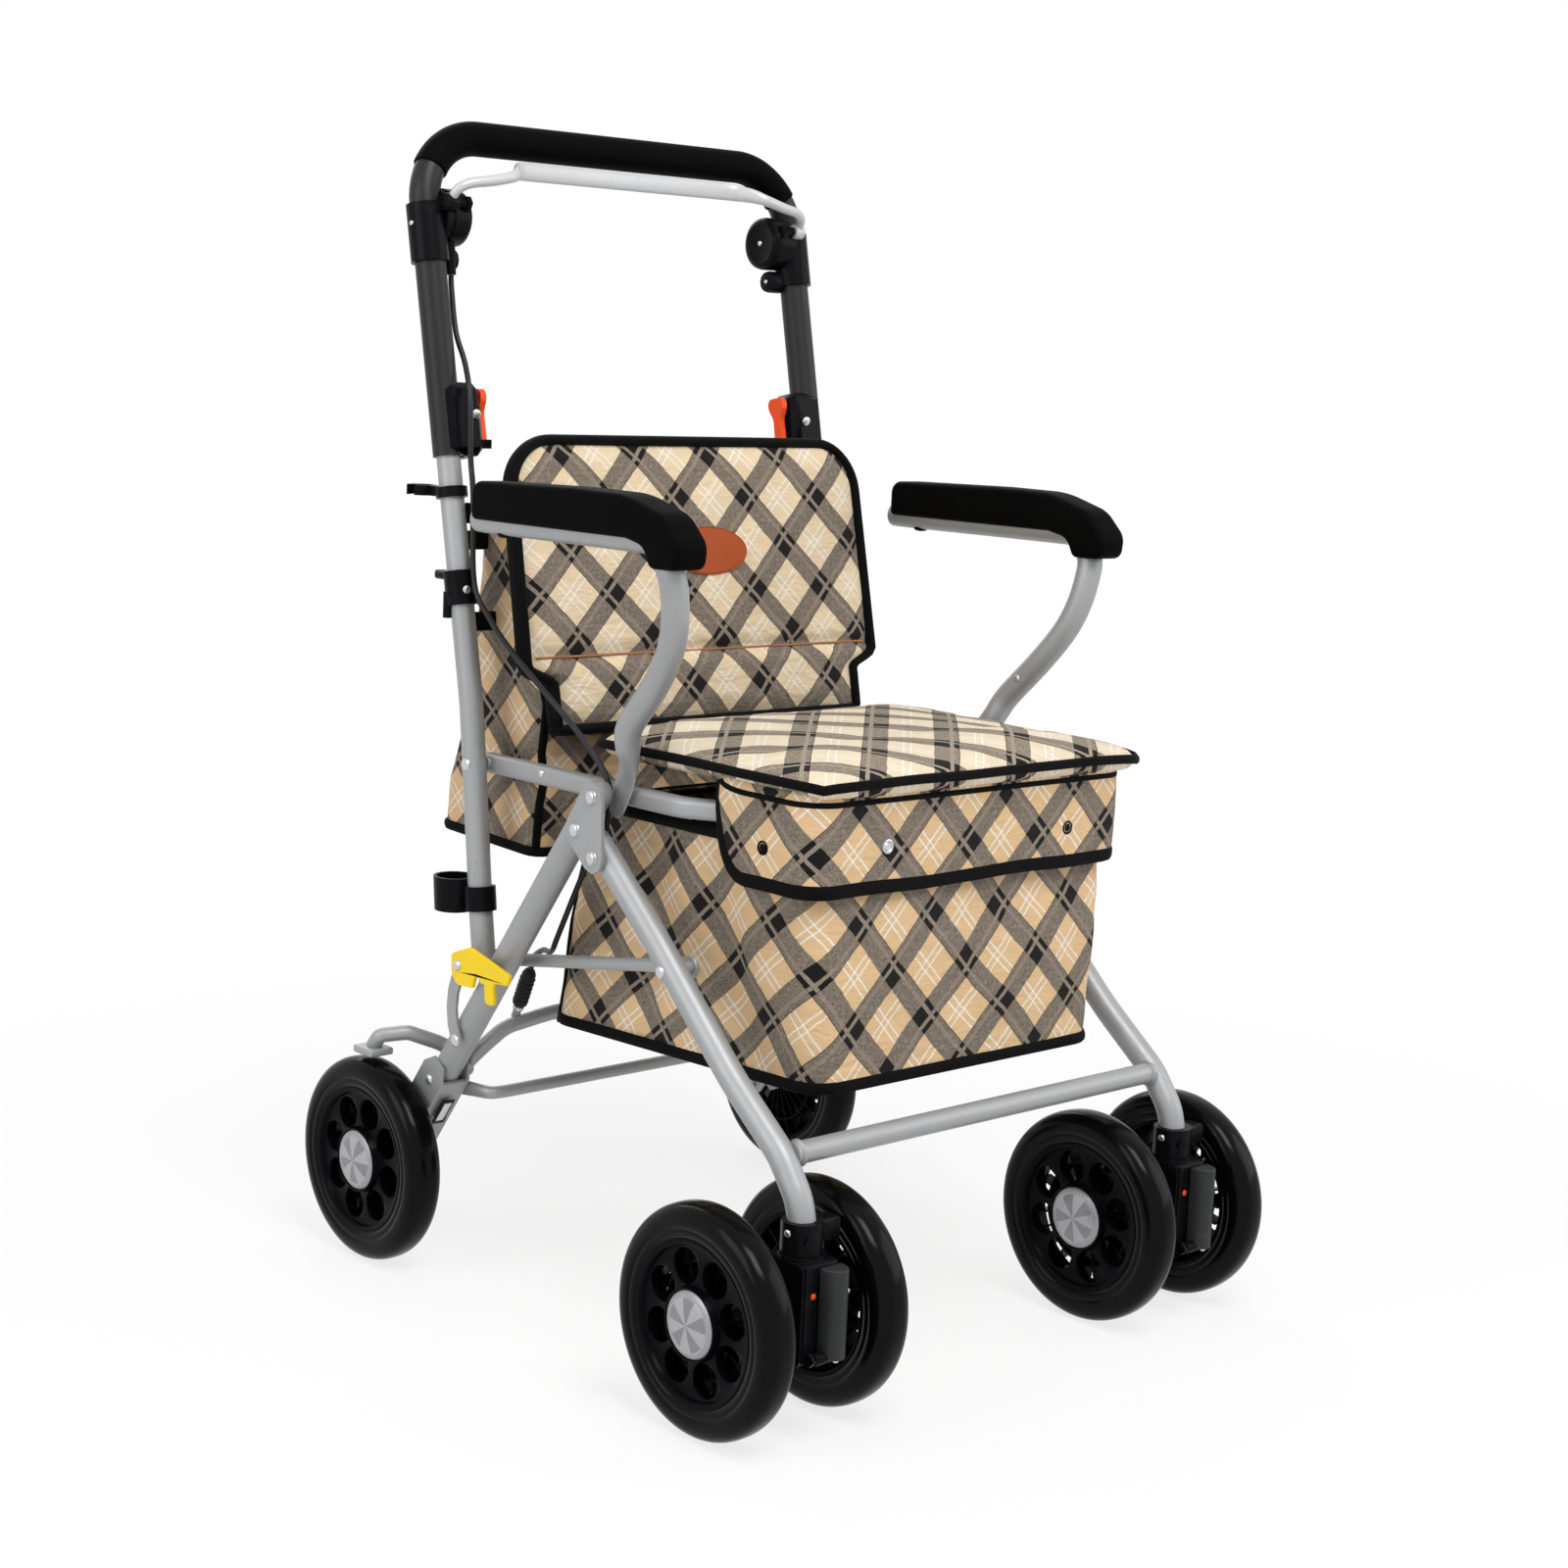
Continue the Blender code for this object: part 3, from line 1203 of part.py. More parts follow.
def brake_housing(label, side):
    """The round brake housing inside the handle, clamped to it, with an ear for the bail."""
    disc_outer = HANDLE_X - SLEEVE_RADIUS + 0.0040
    disc = cross_rod(side, BRAKE_DISC, BRAKE_DISC_INNER + 0.0020, disc_outer, BRAKE_DISC_RADIUS, 16)
    cap = cross_rod(
        side, BRAKE_DISC, BRAKE_DISC_INNER, BRAKE_DISC_INNER + 0.0030, BRAKE_DISC_RADIUS * 0.88, 16
    )
    knob = cross_rod(side, KNOB, BRAKE_DISC_INNER + 0.0050, disc_outer, KNOB_RADIUS, 12)
    low = KNOB[1] - 0.0030
    high = BAIL_PIVOT[1] - 0.0020
    clamp = rod(
        (side * HANDLE_X, lean_y(low), low),
        (side * HANDLE_X, lean_y(high), high),
        SLEEVE_RADIUS + 0.0030,
        16,
    )
    ear_path = belt((BAIL_PIVOT, (BRAKE_DISC[0] - 0.0050, BRAKE_DISC[1])), 0.0060, 3)
    ear = side_plate(side, ear_path, BRAKE_DISC_INNER + 0.0040, 0.0040)
    spacer = cross_rod(side, BAIL_PIVOT, BRAKE_DISC_INNER + 0.0060, BAIL_EYE_INNER - GAP, 0.0040)
    pin = cross_rod(side, BAIL_PIVOT, BRAKE_DISC_INNER + 0.0060, BAIL_EYE_OUTER, 0.0022)
    pieces = [cap, knob, clamp, ear, spacer]
    if side < 0:
        top, foot = CABLE_BARREL
        pieces.append(rod(top, foot, 0.0042, 10))
    bore = tube(handle_path(SLEEVE_BOTTOM_Z), SLEEVE_RADIUS + GAP)
    room = cross_rod(side, BAIL_PIVOT, BAIL_EYE_INNER - GAP, BAIL_EYE_OUTER + GAP, 0.0066, 16)
    body = cut(joined(disc, *pieces), bore, room)
    housing = joined(body, pin)
    finished(f"brake_housing_{label}", housing, BLACK)


def brake_bail():
    """The white squeeze bar across the handle, a wide blade between two bent arms."""
    y, z = BAIL_PIVOT
    arm = [
        (BAIL_X - 0.0035, y, z, 0.0035, 0.0035),
        (BAIL_X - 0.0055, y - 0.0065, z + 0.0095, 0.0038, 0.0038),
        (BAIL_X - 0.0150, y - 0.0110, z + 0.0150, 0.0040, 0.0040),
        (BAIL_X - 0.0330, y - 0.0140, z + 0.0180, 0.0042, 0.0042),
        (BAIL_X - 0.0524, y - 0.0145, z + 0.0225, 0.0040, 0.0045),
        (BAIL_X - 0.0620, y - 0.0060, z + 0.0260, 0.0030, 0.0058),
        (BAIL_X - 0.0710, y + 0.0060, z + 0.0282, 0.0026, 0.0068),
        (BAIL_X - 0.0810, y + 0.0105, z + 0.0290, 0.0025, 0.0072),
    ]
    left = [(x, y, z, thick, tall) for x, y, z, thick, tall in arm]
    right = [(-x, y, z, thick, tall) for x, y, z, thick, tall in reversed(arm)]
    bar = bent_bar(left + right, 8)
    eyes = []
    bores = []
    for label, side in SIDES:
        eyes.append(cross_rod(side, BAIL_PIVOT, BAIL_EYE_INNER, BAIL_EYE_OUTER, 0.0060, 12))
        bores.append(cross_rod(side, BAIL_PIVOT, BAIL_X - 0.02, BAIL_X + 0.01, 0.0028))
    bail = cut(joined(bar, *eyes), *bores)
    finished("brake_bail", bail, WHITE, (0, *BAIL_PIVOT))


def brake_bar():
    """The parking bar: an arch between the legs, hinged on both, with a shoe on each end."""
    y, z = BRAKE_BAR_PIVOT
    radius = BRAKE_BAR_RADIUS
    near = LEG_X - REAR_LEG_RADIUS - SHEET - 2 * GAP - radius
    shoe_top = WHEEL_RADIUS * 2 + SHOE_GAP + 0.0060
    corners = [
        (near, y, z),
        (near, 0.1480, 0.1780),
        (RAIL_X - 0.0160, 0.1400, 0.1970),
        (RAIL_X - 0.0570, 0.1343, 0.2045),
    ]
    arch = corners + [(-x, y, z) for x, y, z in reversed(corners)]
    bar = tube(rounded(arch, [0, 0.030, 0.030, 0.10, 0.10, 0.030, 0.030, 0], 2), radius, 2)
    pieces = []
    bores = []
    for label, side in SIDES:
        arm = [
            (side * near, y, z),
            (side * near, 0.1860, 0.1740),
            (side * (LEG_X + 0.0110), 0.1990, 0.1870),
            (side * REAR_WHEEL_X, 0.2100, 0.1850),
            (side * REAR_WHEEL_X, REAR_AXLE[0], shoe_top),
        ]
        pieces.append(tube(rounded(arm, [0, 0.02, 0.015, 0, 0], 1), radius, 2))
        pieces.append(cross_rod(side, (y, z), near - radius, near + radius, 0.0070, 10))
        low = (side * REAR_WHEEL_X - 0.0110, REAR_AXLE[0] - 0.0130, 2 * WHEEL_RADIUS + SHOE_GAP)
        high = (side * REAR_WHEEL_X + 0.0110, REAR_AXLE[0] + 0.0130, shoe_top)
        pieces.append(block(low, high, 0.0015, 1))
        bores.append(cross_rod(side, (y, z), near - 0.02, near + 0.02, PIN_RADIUS + PIN_PLAY))
    way = (Vector(BOOT_TOP) - Vector(BOOT_FOOT)).normalized()
    lug = rod(Vector(BOOT_FOOT) - way * 0.0130, Vector(BOOT_FOOT) - way * GAP, 0.0035)
    made = cut(joined(bar, *pieces, lug), *bores)
    finished("brake_bar", made, SILVER, (0, *BRAKE_BAR_PIVOT))


def brake_boot():
    """The ribbed rubber boot over the end of the brake cable."""
    foot = Vector(BOOT_FOOT)
    top = Vector(BOOT_TOP)
    length = (top - foot).length
    ribs = 4
    profile = [(0, 0), (0.0060, 0)]
    for index in range(ribs):
        low = length * (0.12 + 0.18 * index)
        profile += [(0.0064, low + 0.0010), (0.0054, low + length * 0.09)]
    profile += [(0.0060, length * 0.88), (0.0042, length), (0, length)]
    shape = bmesh.new()
    knots = [shape.verts.new((radius, 0, height)) for radius, height in reversed(profile)]
    for one, two in zip(knots, knots[1:]):
        shape.edges.new((one, two))
    mesh = bpy.data.meshes.new("boot")
    shape.to_mesh(mesh)
    shape.free()
    obj = place(mesh)
    with_modifier(
        obj,
        "SCREW",
        steps=10,
        render_steps=10,
        use_merge_vertices=True,
        merge_threshold=0.00005,
    )
    obj.rotation_mode = "QUATERNION"
    obj.rotation_quaternion = (top - foot).to_track_quat("Z", "Y")
    obj.location = foot
    finished("brake_boot", baked(obj), RUBBER)


def brake_cable():
    """The one cable, from the right housing down the upright and leg to the boot."""
    way = (Vector(BOOT_TOP) - Vector(BOOT_FOOT)).normalized()
    foot = Vector(BOOT_TOP) + way * 2 * GAP
    barrel_way = (Vector(CABLE_BARREL[1]) - Vector(CABLE_BARREL[0])).normalized()
    start = Vector(CABLE_BARREL[1]) + barrel_way * GAP
    before_clamp = []
    for inside, ahead, above in (
        (0.0170, 0.0016, 0.0950),
        (0.0150, 0.0127, 0.0710),
        (0.0080, 0.0244, 0.0450),
        (0.0050, 0.0225, 0.0010),
        (0.0040, 0.0224, -0.0290),
    ):
        z = SLEEVE_BOTTOM_Z + above
        before_clamp.append((-UPRIGHT_X + inside, lean_y(z) - ahead, z))
    below_clamp = [
        (0.0010, 0.1500, 0.5510),
        (0.0005, 0.1280, 0.5250),
        (-0.0015, 0.0960, 0.5030),
        (-0.0005, 0.0600, 0.4800),
        (0.0060, 0.0180, 0.4480),
        (0.0090, -0.0100, 0.4200),
        (0.0092, -0.0130, 0.4000),
        (0.0094, -0.0060, 0.3720),
        (0.0100, 0.0130, 0.3500),
        (0.0140, 0.0480, 0.2930),
        (0.0260, 0.0720, 0.2730),
        (0.0370, 0.0960, 0.2680),
    ]
    route = [
        start,
        start + barrel_way * 0.0100,
        *before_clamp,
        *((-UPRIGHT_X + inside, y, z) for inside, y, z in below_clamp),
        foot + way * 0.0140,
        foot + way * 0.0070,
        foot,
    ]
    finished("brake_cable", tube(smooth(route, 2), CABLE_RADIUS, 2), BLACK)


def smooth(points, steps):
    """A smooth curve through the points, with this many steps between neighbours."""
    knots = [Vector(point) for point in points]
    knots = [2 * knots[0] - knots[1], *knots, 2 * knots[-1] - knots[-2]]
    path = []
    for index in range(1, len(knots) - 2):
        a, b, c, d = knots[index - 1 : index + 3]
        for step in range(steps):
            t = step / steps
            path.append(
                0.5
                * (
                    2 * b
                    + (c - a) * t
                    + (2 * a - 5 * b + 4 * c - d) * t * t
                    + (3 * b - a - 3 * c + d) * t * t * t
                )
            )
    path.append(knots[-2])
    return path


# Small fittings on the right upright


def band(side, low, high, radius):
    """A ring round the upright between two heights."""
    start = (side * UPRIGHT_X, lean_y(low), low)
    end = (side * UPRIGHT_X, lean_y(high), high)
    return rod(start, end, radius, 16)


def upright_bore(side, low, high):
    """The room for the upright in a ring round it."""
    return band(side, low - 0.0100, high + 0.0100, UPRIGHT_RADIUS + 2 * GAP)


def cane_clips():
    """The two clips that hold a walking stick, and the cup for its foot."""
    side = -1
    low, high = 0.6135, 0.6215
    ring = band(side, low, high, 0.0125)
    y = lean_y(low)
    arm = block((-UPRIGHT_X - 0.0045, y + 0.0080, low), (-UPRIGHT_X + 0.0045, y + 0.0290, high))
    jaw_at = (-UPRIGHT_X - 0.0030, y + 0.0365)
    jaw = rod((*jaw_at, low), (*jaw_at, high), 0.0120, 16)
    mouth = rod((*jaw_at, low - 0.01), (*jaw_at, high + 0.01), 0.0092, 16)
    gate = block(
        (jaw_at[0] - 0.0150, jaw_at[1] - 0.0050, low - 0.01),
        (jaw_at[0] - 0.0020, jaw_at[1] + 0.0060, high + 0.01),
    )
    upper = cut(joined(ring, arm, jaw), mouth, gate, upright_bore(side, low, high))
    finished("cane_clip_upper", upper, BLACK)
    low, high = 0.5320, 0.5580
    y = lean_y(low)
    ring = band(side, low, high, 0.0125)
    beak = block(
        (-UPRIGHT_X - 0.0050, y + 0.0080, high - 0.0080),
        (-UPRIGHT_X + 0.0050, y + 0.0320, high - 0.0010),
        0.0015,
        1,
    )
    drop_at = (-UPRIGHT_X - 0.0080, y + 0.0060)
    drop = rod((*drop_at, low - 0.0100), (*drop_at, low + 0.0100), 0.0050, 10)
    lower = cut(joined(ring, beak, drop), upright_bore(side, low, high))
    finished("cane_clip_lower", lower, BLACK)


def cup_holder():
    """The cup at the foot of the right upright that holds a stick's tip."""
    top = CUP_BOTTOM + CUP_HEIGHT
    x = -UPRIGHT_X
    cup = rod((*CUP, CUP_BOTTOM), (*CUP, top), CUP_RADIUS - 0.0015, 16, CUP_RADIUS)
    hollow = rod((*CUP, CUP_BOTTOM + CUP_WALL), (*CUP, top + 0.01), CUP_RADIUS - CUP_WALL, 16)
    low = CUP_BOTTOM + 0.0040
    high = top - 0.0040
    knee = Vector(UPRIGHT_KNEE)
    way = (Vector(UPRIGHT_BEND) - knee).normalized()
    y_low = knee.x + (low - knee.y) * way.x / way.y
    y_high = knee.x + (high - knee.y) * way.x / way.y
    ring = rod((x, y_low, low), (x, y_high, high), 0.0125, 16)
    shift = Vector((0, way.x, way.y)) * 0.0100
    start = Vector((x, y_low, low)) - shift
    end = Vector((x, y_high, high)) + shift
    bore = rod(start, end, UPRIGHT_RADIUS + 3 * GAP, 16)
    made = cut(joined(cup, ring), hollow, bore)
    finished("cup_holder", made, BLACK)


# Seat, bags and backrest


def bag_width(z):
    """Half the bag's width at this height."""
    share = (z - BAG_BOTTOM[0]) / (RAIL_Z - BAG_BOTTOM[0])
    return BAG_BOTTOM_HALF + (BAG_TOP_HALF - BAG_BOTTOM_HALF) * min(max(share, 0), 1)


def shopping_bag():
    """The open bag that hangs by its hem under the seat rails."""
    hem_top = RAIL_Z - RAIL_HEIGHT / 2 - GAP
    hem_bottom = hem_top - FLANGE_HEIGHT
    shape = bmesh.new()
    rings = []
    levels = (0, 0.08, 0.5, 1)
    for level in levels:
        front_z = BAG_BOTTOM[0] + (hem_bottom - BAG_BOTTOM[0]) * level
        rear_z = BAG_BOTTOM[1] + (hem_bottom - BAG_BOTTOM[1]) * level
        tuck = 0.0080 if level == 0 else 0
        half = bag_width(front_z) - tuck
        front = BAG_FRONT + 0.0062 * level + tuck
        ring = []
        rear = BAG_REAR + (BAG_REAR_TOP - BAG_REAR) * level - tuck
        for x, y in ring_points(half, front, rear, 0.0250, 2):
            share = (y - front) / (rear - front)
            ring.append(shape.verts.new((x, y, front_z + (rear_z - front_z) * share)))
        rings.append(ring)
    shell = skinned(shape, rings, (True, False))
    with_modifier(shell, "SOLIDIFY", thickness=BAG_WALL, offset=-1, use_even_offset=True)
    shell = baked(shell)
    wide = RAIL_X + 0.0060
    slim = RAIL_FRONT_X + 0.0055
    front = BAG_FRONT + 0.0062
    outer = [
        (slim, front),
        (slim, -0.1140),
        (wide, -0.0870),
        (wide, BAG_REAR_TOP),
        (-wide, BAG_REAR_TOP),
        (-wide, -0.0870),
        (-slim, -0.1140),
        (-slim, front),
    ]
    radii = [0.025, 0.02, 0.02, 0.01, 0.01, 0.02, 0.02, 0.025]
    outline = [(point.x, point.y) for point in rounded(outer, radii, 2, closed=True)]
    inset = 0.0030
    hole = ring_points(BAG_TOP_HALF - inset, front + inset, BAG_REAR_TOP - inset, 0.0220, 2)
    hem = level_plate(outline, hem_bottom - 0.0010, hem_top, (hole,))
    finished("shopping_bag", joined(shell, hem), FABRIC)


def bag_flap():
    """The skirt round the front of the lid, with rounded lower corners behind."""
    half = FLAP_X + FLAP_WALL
    top = CUSHION_BOTTOM - GAP - 0.0002
    rear_top = -0.1180
    slope = 0.0290
    path = rounded(
        [(-half, rear_top), (-half, FLAP_FRONT), (half, FLAP_FRONT), (half, rear_top)],
        0.0250,
        3,
    )
    start, end = path[0], path[-1]
    wing = [start + (path[1] - start) * share for share in (0, 0.12, 0.24, 0.36, 0.6)]
    back = [end + (path[-2] - end) * share for share in (0.6, 0.36, 0.24, 0.12, 0)]
    path = wing + path[1:-1] + back
    shape = bmesh.new()
    columns = []
    for point in path:
        share = min(max((rear_top - point.y) / slope, 0), 1)
        drop = math.sqrt(1 - (1 - share) ** 2)
        bottom = top - 0.0120 - (top - 0.0120 - FLAP_BOTTOM) * drop
        heights = (top, (top * 2 + bottom) / 3, (top + bottom * 2) / 3, bottom)
        columns.append([shape.verts.new((point.x, point.y, height)) for height in heights])
    for one, two in zip(columns, columns[1:]):
        for index in range(3):
            shape.faces.new((one[index], one[index + 1], two[index + 1], two[index]))
    mesh = bpy.data.meshes.new("flap")
    shape.to_mesh(mesh)
    shape.free()
    skirt = place(mesh)
    with_modifier(skirt, "SOLIDIFY", thickness=FLAP_WALL, offset=-1, use_even_offset=True)
    finished("bag_flap", baked(skirt), FABRIC, (0, *LID_PIVOT))


def seat_cushion():
    """The padded lid: crowned above, drawn in at its sides and piped round the middle."""
    height = CUSHION_TOP - CUSHION_BOTTOM
    levels = (
        (0.00, 0.0090),
        (0.06, 0.0030),
        (0.20, 0.0010),
        (0.36, 0.0022),
        (0.42, 0.0000),
        (0.48, 0.0024),
        (0.62, 0.0026),
        (0.76, 0.0052),
        (0.87, 0.0110),
        (0.94, 0.0220),
        (0.98, 0.0440),
        (1.00, 0.0850),
    )
    pinch = 0.0022
    shape = bmesh.new()
    rings = []
    for share, inset in levels:
        z = CUSHION_BOTTOM + height * share
        rear = 0.0500 - 0.0225 * min(share / 0.9, 1)
        half = CUSHION_HALF - inset
        low = CUSHION_FRONT + inset
        high = rear - inset
        corner = max(0.0300 - inset * 0.3, 0.0080)
        middle = (low + high) / 2
        depth = (high - low) / 2
        ring = []
        for x, y in ring_points(half, low, high, corner, 3, 4):
            across = x / half
            along = (y - middle) / depth
            drawn_x = x - pinch * across * (1 - along * along)
            drawn_y = y - pinch * along * (1 - across * across)
            ring.append(shape.verts.new((drawn_x, drawn_y, z)))
        rings.append(ring)
    cushion = skinned(shape, rings)
    finished("seat_cushion", cushion, FABRIC, (0, *LID_PIVOT))


def backrest():
    """The padded back panel, narrow at its foot and rounded at its head."""
    foot = Vector((0, *BACKREST_FOOT))
    up = Vector((0, *BACKREST_HEAD)) - foot
    height = up.length
    tilt = math.atan2(up.z, up.y)
    step = 0.0370
    half = [
        (BACKREST_FOOT_HALF, 0),
        (BACKREST_FOOT_HALF, step),
        (BACKREST_HALF, step + 0.0060),
        (BACKREST_HALF, height - 0.0350),
        (BACKREST_HALF - 0.0060, height),
    ]
    corners = half + [(-x, y) for x, y in reversed(half)]
    radii = [0.012, 0.006, 0.010, 0.10, 0.045]
    outline = rounded(corners, radii + radii[::-1], 2, closed=True)
    panel = flat(([(point.x, point.y) for point in outline],), BACKREST_THICKNESS, 0.0055)
    panel.rotation_euler = (tilt, 0, 0)
    normal = Vector((0, -math.sin(tilt), math.cos(tilt)))
    panel.location = foot - normal * BACKREST_THICKNESS / 2
    low, high = BACKREST_STRAP
    upright_y = lean_y((low + high) / 2)
    share = (low - foot.z) / up.z
    back = foot.y + up.y * share + BACKREST_THICKNESS / math.sin(tilt) - 0.0010
    face = UPRIGHT_X - UPRIGHT_RADIUS - GAP
    straps = []
    for label, side in SIDES:
        outline = [
            (side * (face - 0.0180), back),
            (side * (face - 0.0145), back),
            (side * face, upright_y - 0.0040),
            (side * face, upright_y + 0.0040),
            (side * (face - 0.0030), upright_y + 0.0040),
        ]
        straps.append(level_plate(outline[::side], low, high))
    finished("backrest", joined(baked(panel), *straps), FABRIC)


def rear_bag():
    """The pouch behind the backrest, with straps to both uprights."""
    corners = [
        (0.1040, 0.3440),
        (0.2280, 0.3490),
        (0.2250, 0.3850),
        (0.2070, 0.4310),
        (0.1950, 0.5000),
        (0.1850, 0.6000),
        (0.1290, 0.6000),
        (0.1010, 0.4650),
        (0.0985, 0.4200),
    ]
    radii = [0.012, 0.012, 0.03, 0.05, 0.10, 0.012, 0.010, 0.10, 0.10]
    outline = [(point.x, point.y) for point in rounded(corners, radii, 2, closed=True)]
    pouch = side_plate(1, outline, -REAR_BAG_HALF, 2 * REAR_BAG_HALF, bevel=REAR_BAG_BEVEL)
    inner = shrunk(corners, REAR_BAG_WALL)
    inner[5] = (inner[5][0] - 0.0030, 0.6300)
    inner[6] = (inner[6][0] + 0.0060, 0.6300)
    room = [(point.x, point.y) for point in rounded(inner, radii, 1, closed=True)]
    half = REAR_BAG_HALF - REAR_BAG_WALL
    pouch = cut(pouch, side_plate(1, room, -half, 2 * half, bevel=REAR_BAG_BEVEL))
    straps = []
    for label, side in SIDES:
        for low, high in ((0.5100, 0.5280), (0.5720, 0.5900)):
            strap = [
                (lean_y(low) - 0.0060, low),
                (lean_y(low) + 0.0060, low),
                (lean_y(high) + 0.0060, high),
                (lean_y(high) - 0.0060, high),
            ]
            root = REAR_BAG_HALF - REAR_BAG_WALL / 2
            reach = UPRIGHT_X - UPRIGHT_RADIUS - GAP - root
            straps.append(side_plate(side, strap, root, reach))
    finished("rear_bag", joined(pouch, *straps), FABRIC)


make_wheels()
rear_cross_bar()
front_frame()
seat_frame()
handle_tube()
foam_grip()
brake_bail()
brake_bar()
brake_boot()
brake_cable()
cane_clips()
cup_holder()
shopping_bag()
bag_flap()
seat_cushion()
backrest()
rear_bag()
for side_label, side_sign in SIDES:
    rear_leg(side_label, side_sign)
    wheel_bracket(side_label, side_sign)
    apex_gusset(side_label, side_sign)
    armrest(side_label, side_sign)
    fold_brace(side_label, side_sign)
    caster_collar(side_label, side_sign)
    caster_housing(side_label, side_sign)
    lock_lever(side_label, side_sign)
    fold_link(side_label, side_sign)
    latch(side_label, side_sign)
    upright(side_label, side_sign)
    handle_collar(side_label, side_sign)
    clamp_lever(side_label, side_sign)
    brake_housing(side_label, side_sign)
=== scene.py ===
"""Looks of a shopping rollator: painted tubes, black plastic, plaid cloth and six wheels.

Metres, +Z up. The front is -Y, the user stands at +Y, and the object's right side is -X.
A pair (y, z) is a place in side view.
"""

import json
import math

import bmesh
import bpy
from mathutils import Matrix, Vector, noise


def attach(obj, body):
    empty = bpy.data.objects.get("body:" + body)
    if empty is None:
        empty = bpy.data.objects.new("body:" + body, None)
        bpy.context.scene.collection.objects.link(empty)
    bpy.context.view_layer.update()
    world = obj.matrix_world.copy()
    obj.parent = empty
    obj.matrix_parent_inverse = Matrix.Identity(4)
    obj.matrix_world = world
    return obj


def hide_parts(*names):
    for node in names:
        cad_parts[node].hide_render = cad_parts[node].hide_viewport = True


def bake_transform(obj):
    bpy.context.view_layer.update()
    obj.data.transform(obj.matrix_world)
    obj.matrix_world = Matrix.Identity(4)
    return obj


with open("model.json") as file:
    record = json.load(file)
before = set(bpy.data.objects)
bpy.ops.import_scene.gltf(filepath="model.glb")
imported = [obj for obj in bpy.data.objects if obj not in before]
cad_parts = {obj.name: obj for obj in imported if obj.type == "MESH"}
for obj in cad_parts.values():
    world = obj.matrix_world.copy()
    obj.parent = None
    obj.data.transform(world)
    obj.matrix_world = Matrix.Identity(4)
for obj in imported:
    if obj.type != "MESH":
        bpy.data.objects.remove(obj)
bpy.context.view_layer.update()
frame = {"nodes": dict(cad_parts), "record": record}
NODES = frame["nodes"]
RECORD = frame["record"]
BODIES = RECORD["behaviour"]["bodies"]
BODY_OF = {node: body for body, nodes in BODIES.items() for node in nodes}
SIDES = (("right", -1), ("left", 1))
ACROSS = Vector((1, 0, 0))
UP = Vector((0, 0, 1))

# Places taken over from the part's source
SEAT_PIVOT = (-0.0287, 0.4120)
GUSSET_RIVET = (-0.0107, 0.3850)
LEG_PIVOT = (-0.0312, 0.3673)
LINK_PIVOT = (0.1303, 0.1960)
ELBOW = (0.1230, 0.2580)
UPRIGHT_PIVOT = (0.1423, 0.4110)
BRACE_PIVOT = (-0.1068, 0.2976)
BAR_PIVOT = (0.1668, 0.1610)
BAIL_PIVOT = (0.2050, 0.8380)
BRAKE_DRUM = (0.2262, 0.8271)
BRAKE_KNOB = (0.2230, 0.7950)
FRONT_BAR = (-0.2345, 0.1935)
REAR_AXLE = (0.2187, 0.0825)
FRONT_AXLE = (-0.2187, 0.0825)
LEG_X = 0.1970
LEG_RADIUS = 0.0110
BRACKET_FACE_X = LEG_X - LEG_RADIUS - 0.0031
BRACKET_Z = 0.1630
WEB_FACE = 0.0170
STUD_Z = 0.2505
RAIL_X = 0.1720
UPRIGHT_X = 0.1910
HANDLE_X = 0.1908
HANDLE_Z = 0.8899
SLEEVE_BOTTOM_Z = 0.6450
ARMREST_X = 0.2182
REAR_WHEEL_X = 0.2276
OUTER_WHEEL_X = 0.2495
INNER_WHEEL_X = 0.1445
BOOT_FOOT = Vector((-0.1450, 0.1370, 0.2150))
BOOT_TOP = Vector((-0.1450, 0.1240, 0.2450))
BOOT_WAY = (BOOT_TOP - BOOT_FOOT).normalized()
LEG_DOWN = Vector((0, 0.5850, -0.8110)).normalized()


def lean_y(z):
    """The y of an upright's straight upper part at this height."""
    return 0.1482 + 0.2035 * (z - 0.4580)


def rear_leg_y(z):
    """The y of the rear leg's axis at this height."""
    return REAR_AXLE[0] - (z - REAR_AXLE[1]) * 0.5850 / 0.8110


# Objects and the camera


def linked(name, data, place=None):
    """The data as an object of the scene."""
    made = bpy.data.objects.new(name, data)
    if place is not None:
        made.matrix_world = place
    bpy.context.scene.collection.objects.link(made)
    return made


def with_axes(place, x, y, z):
    """A place with these three axes."""
    return Matrix.Translation(place) @ Matrix((x, y, z)).transposed().to_4x4()


def set_camera():
    """The camera at the photograph's viewing angle."""
    azimuth, elevation, roll = (math.radians(angle) for angle in (-42.8525, 9.0955, 2.5088))
    level = math.cos(elevation)
    back = Vector((math.sin(azimuth) * level, -math.cos(azimuth) * level, math.sin(elevation)))
    right = UP.cross(back).normalized()
    top = back.cross(right)
    rolled_right = right * math.cos(roll) + top * math.sin(roll)
    rolled_top = top * math.cos(roll) - right * math.sin(roll)
    data = bpy.data.cameras.new("camera")
    data.lens = 61.275
    data.sensor_width = 36.0
    view = with_axes((-1.4027, -1.5168, 0.7323), rolled_right, rolled_top, back)
    bpy.context.scene.camera = linked("camera", data, view)


set_camera()


# Finishes


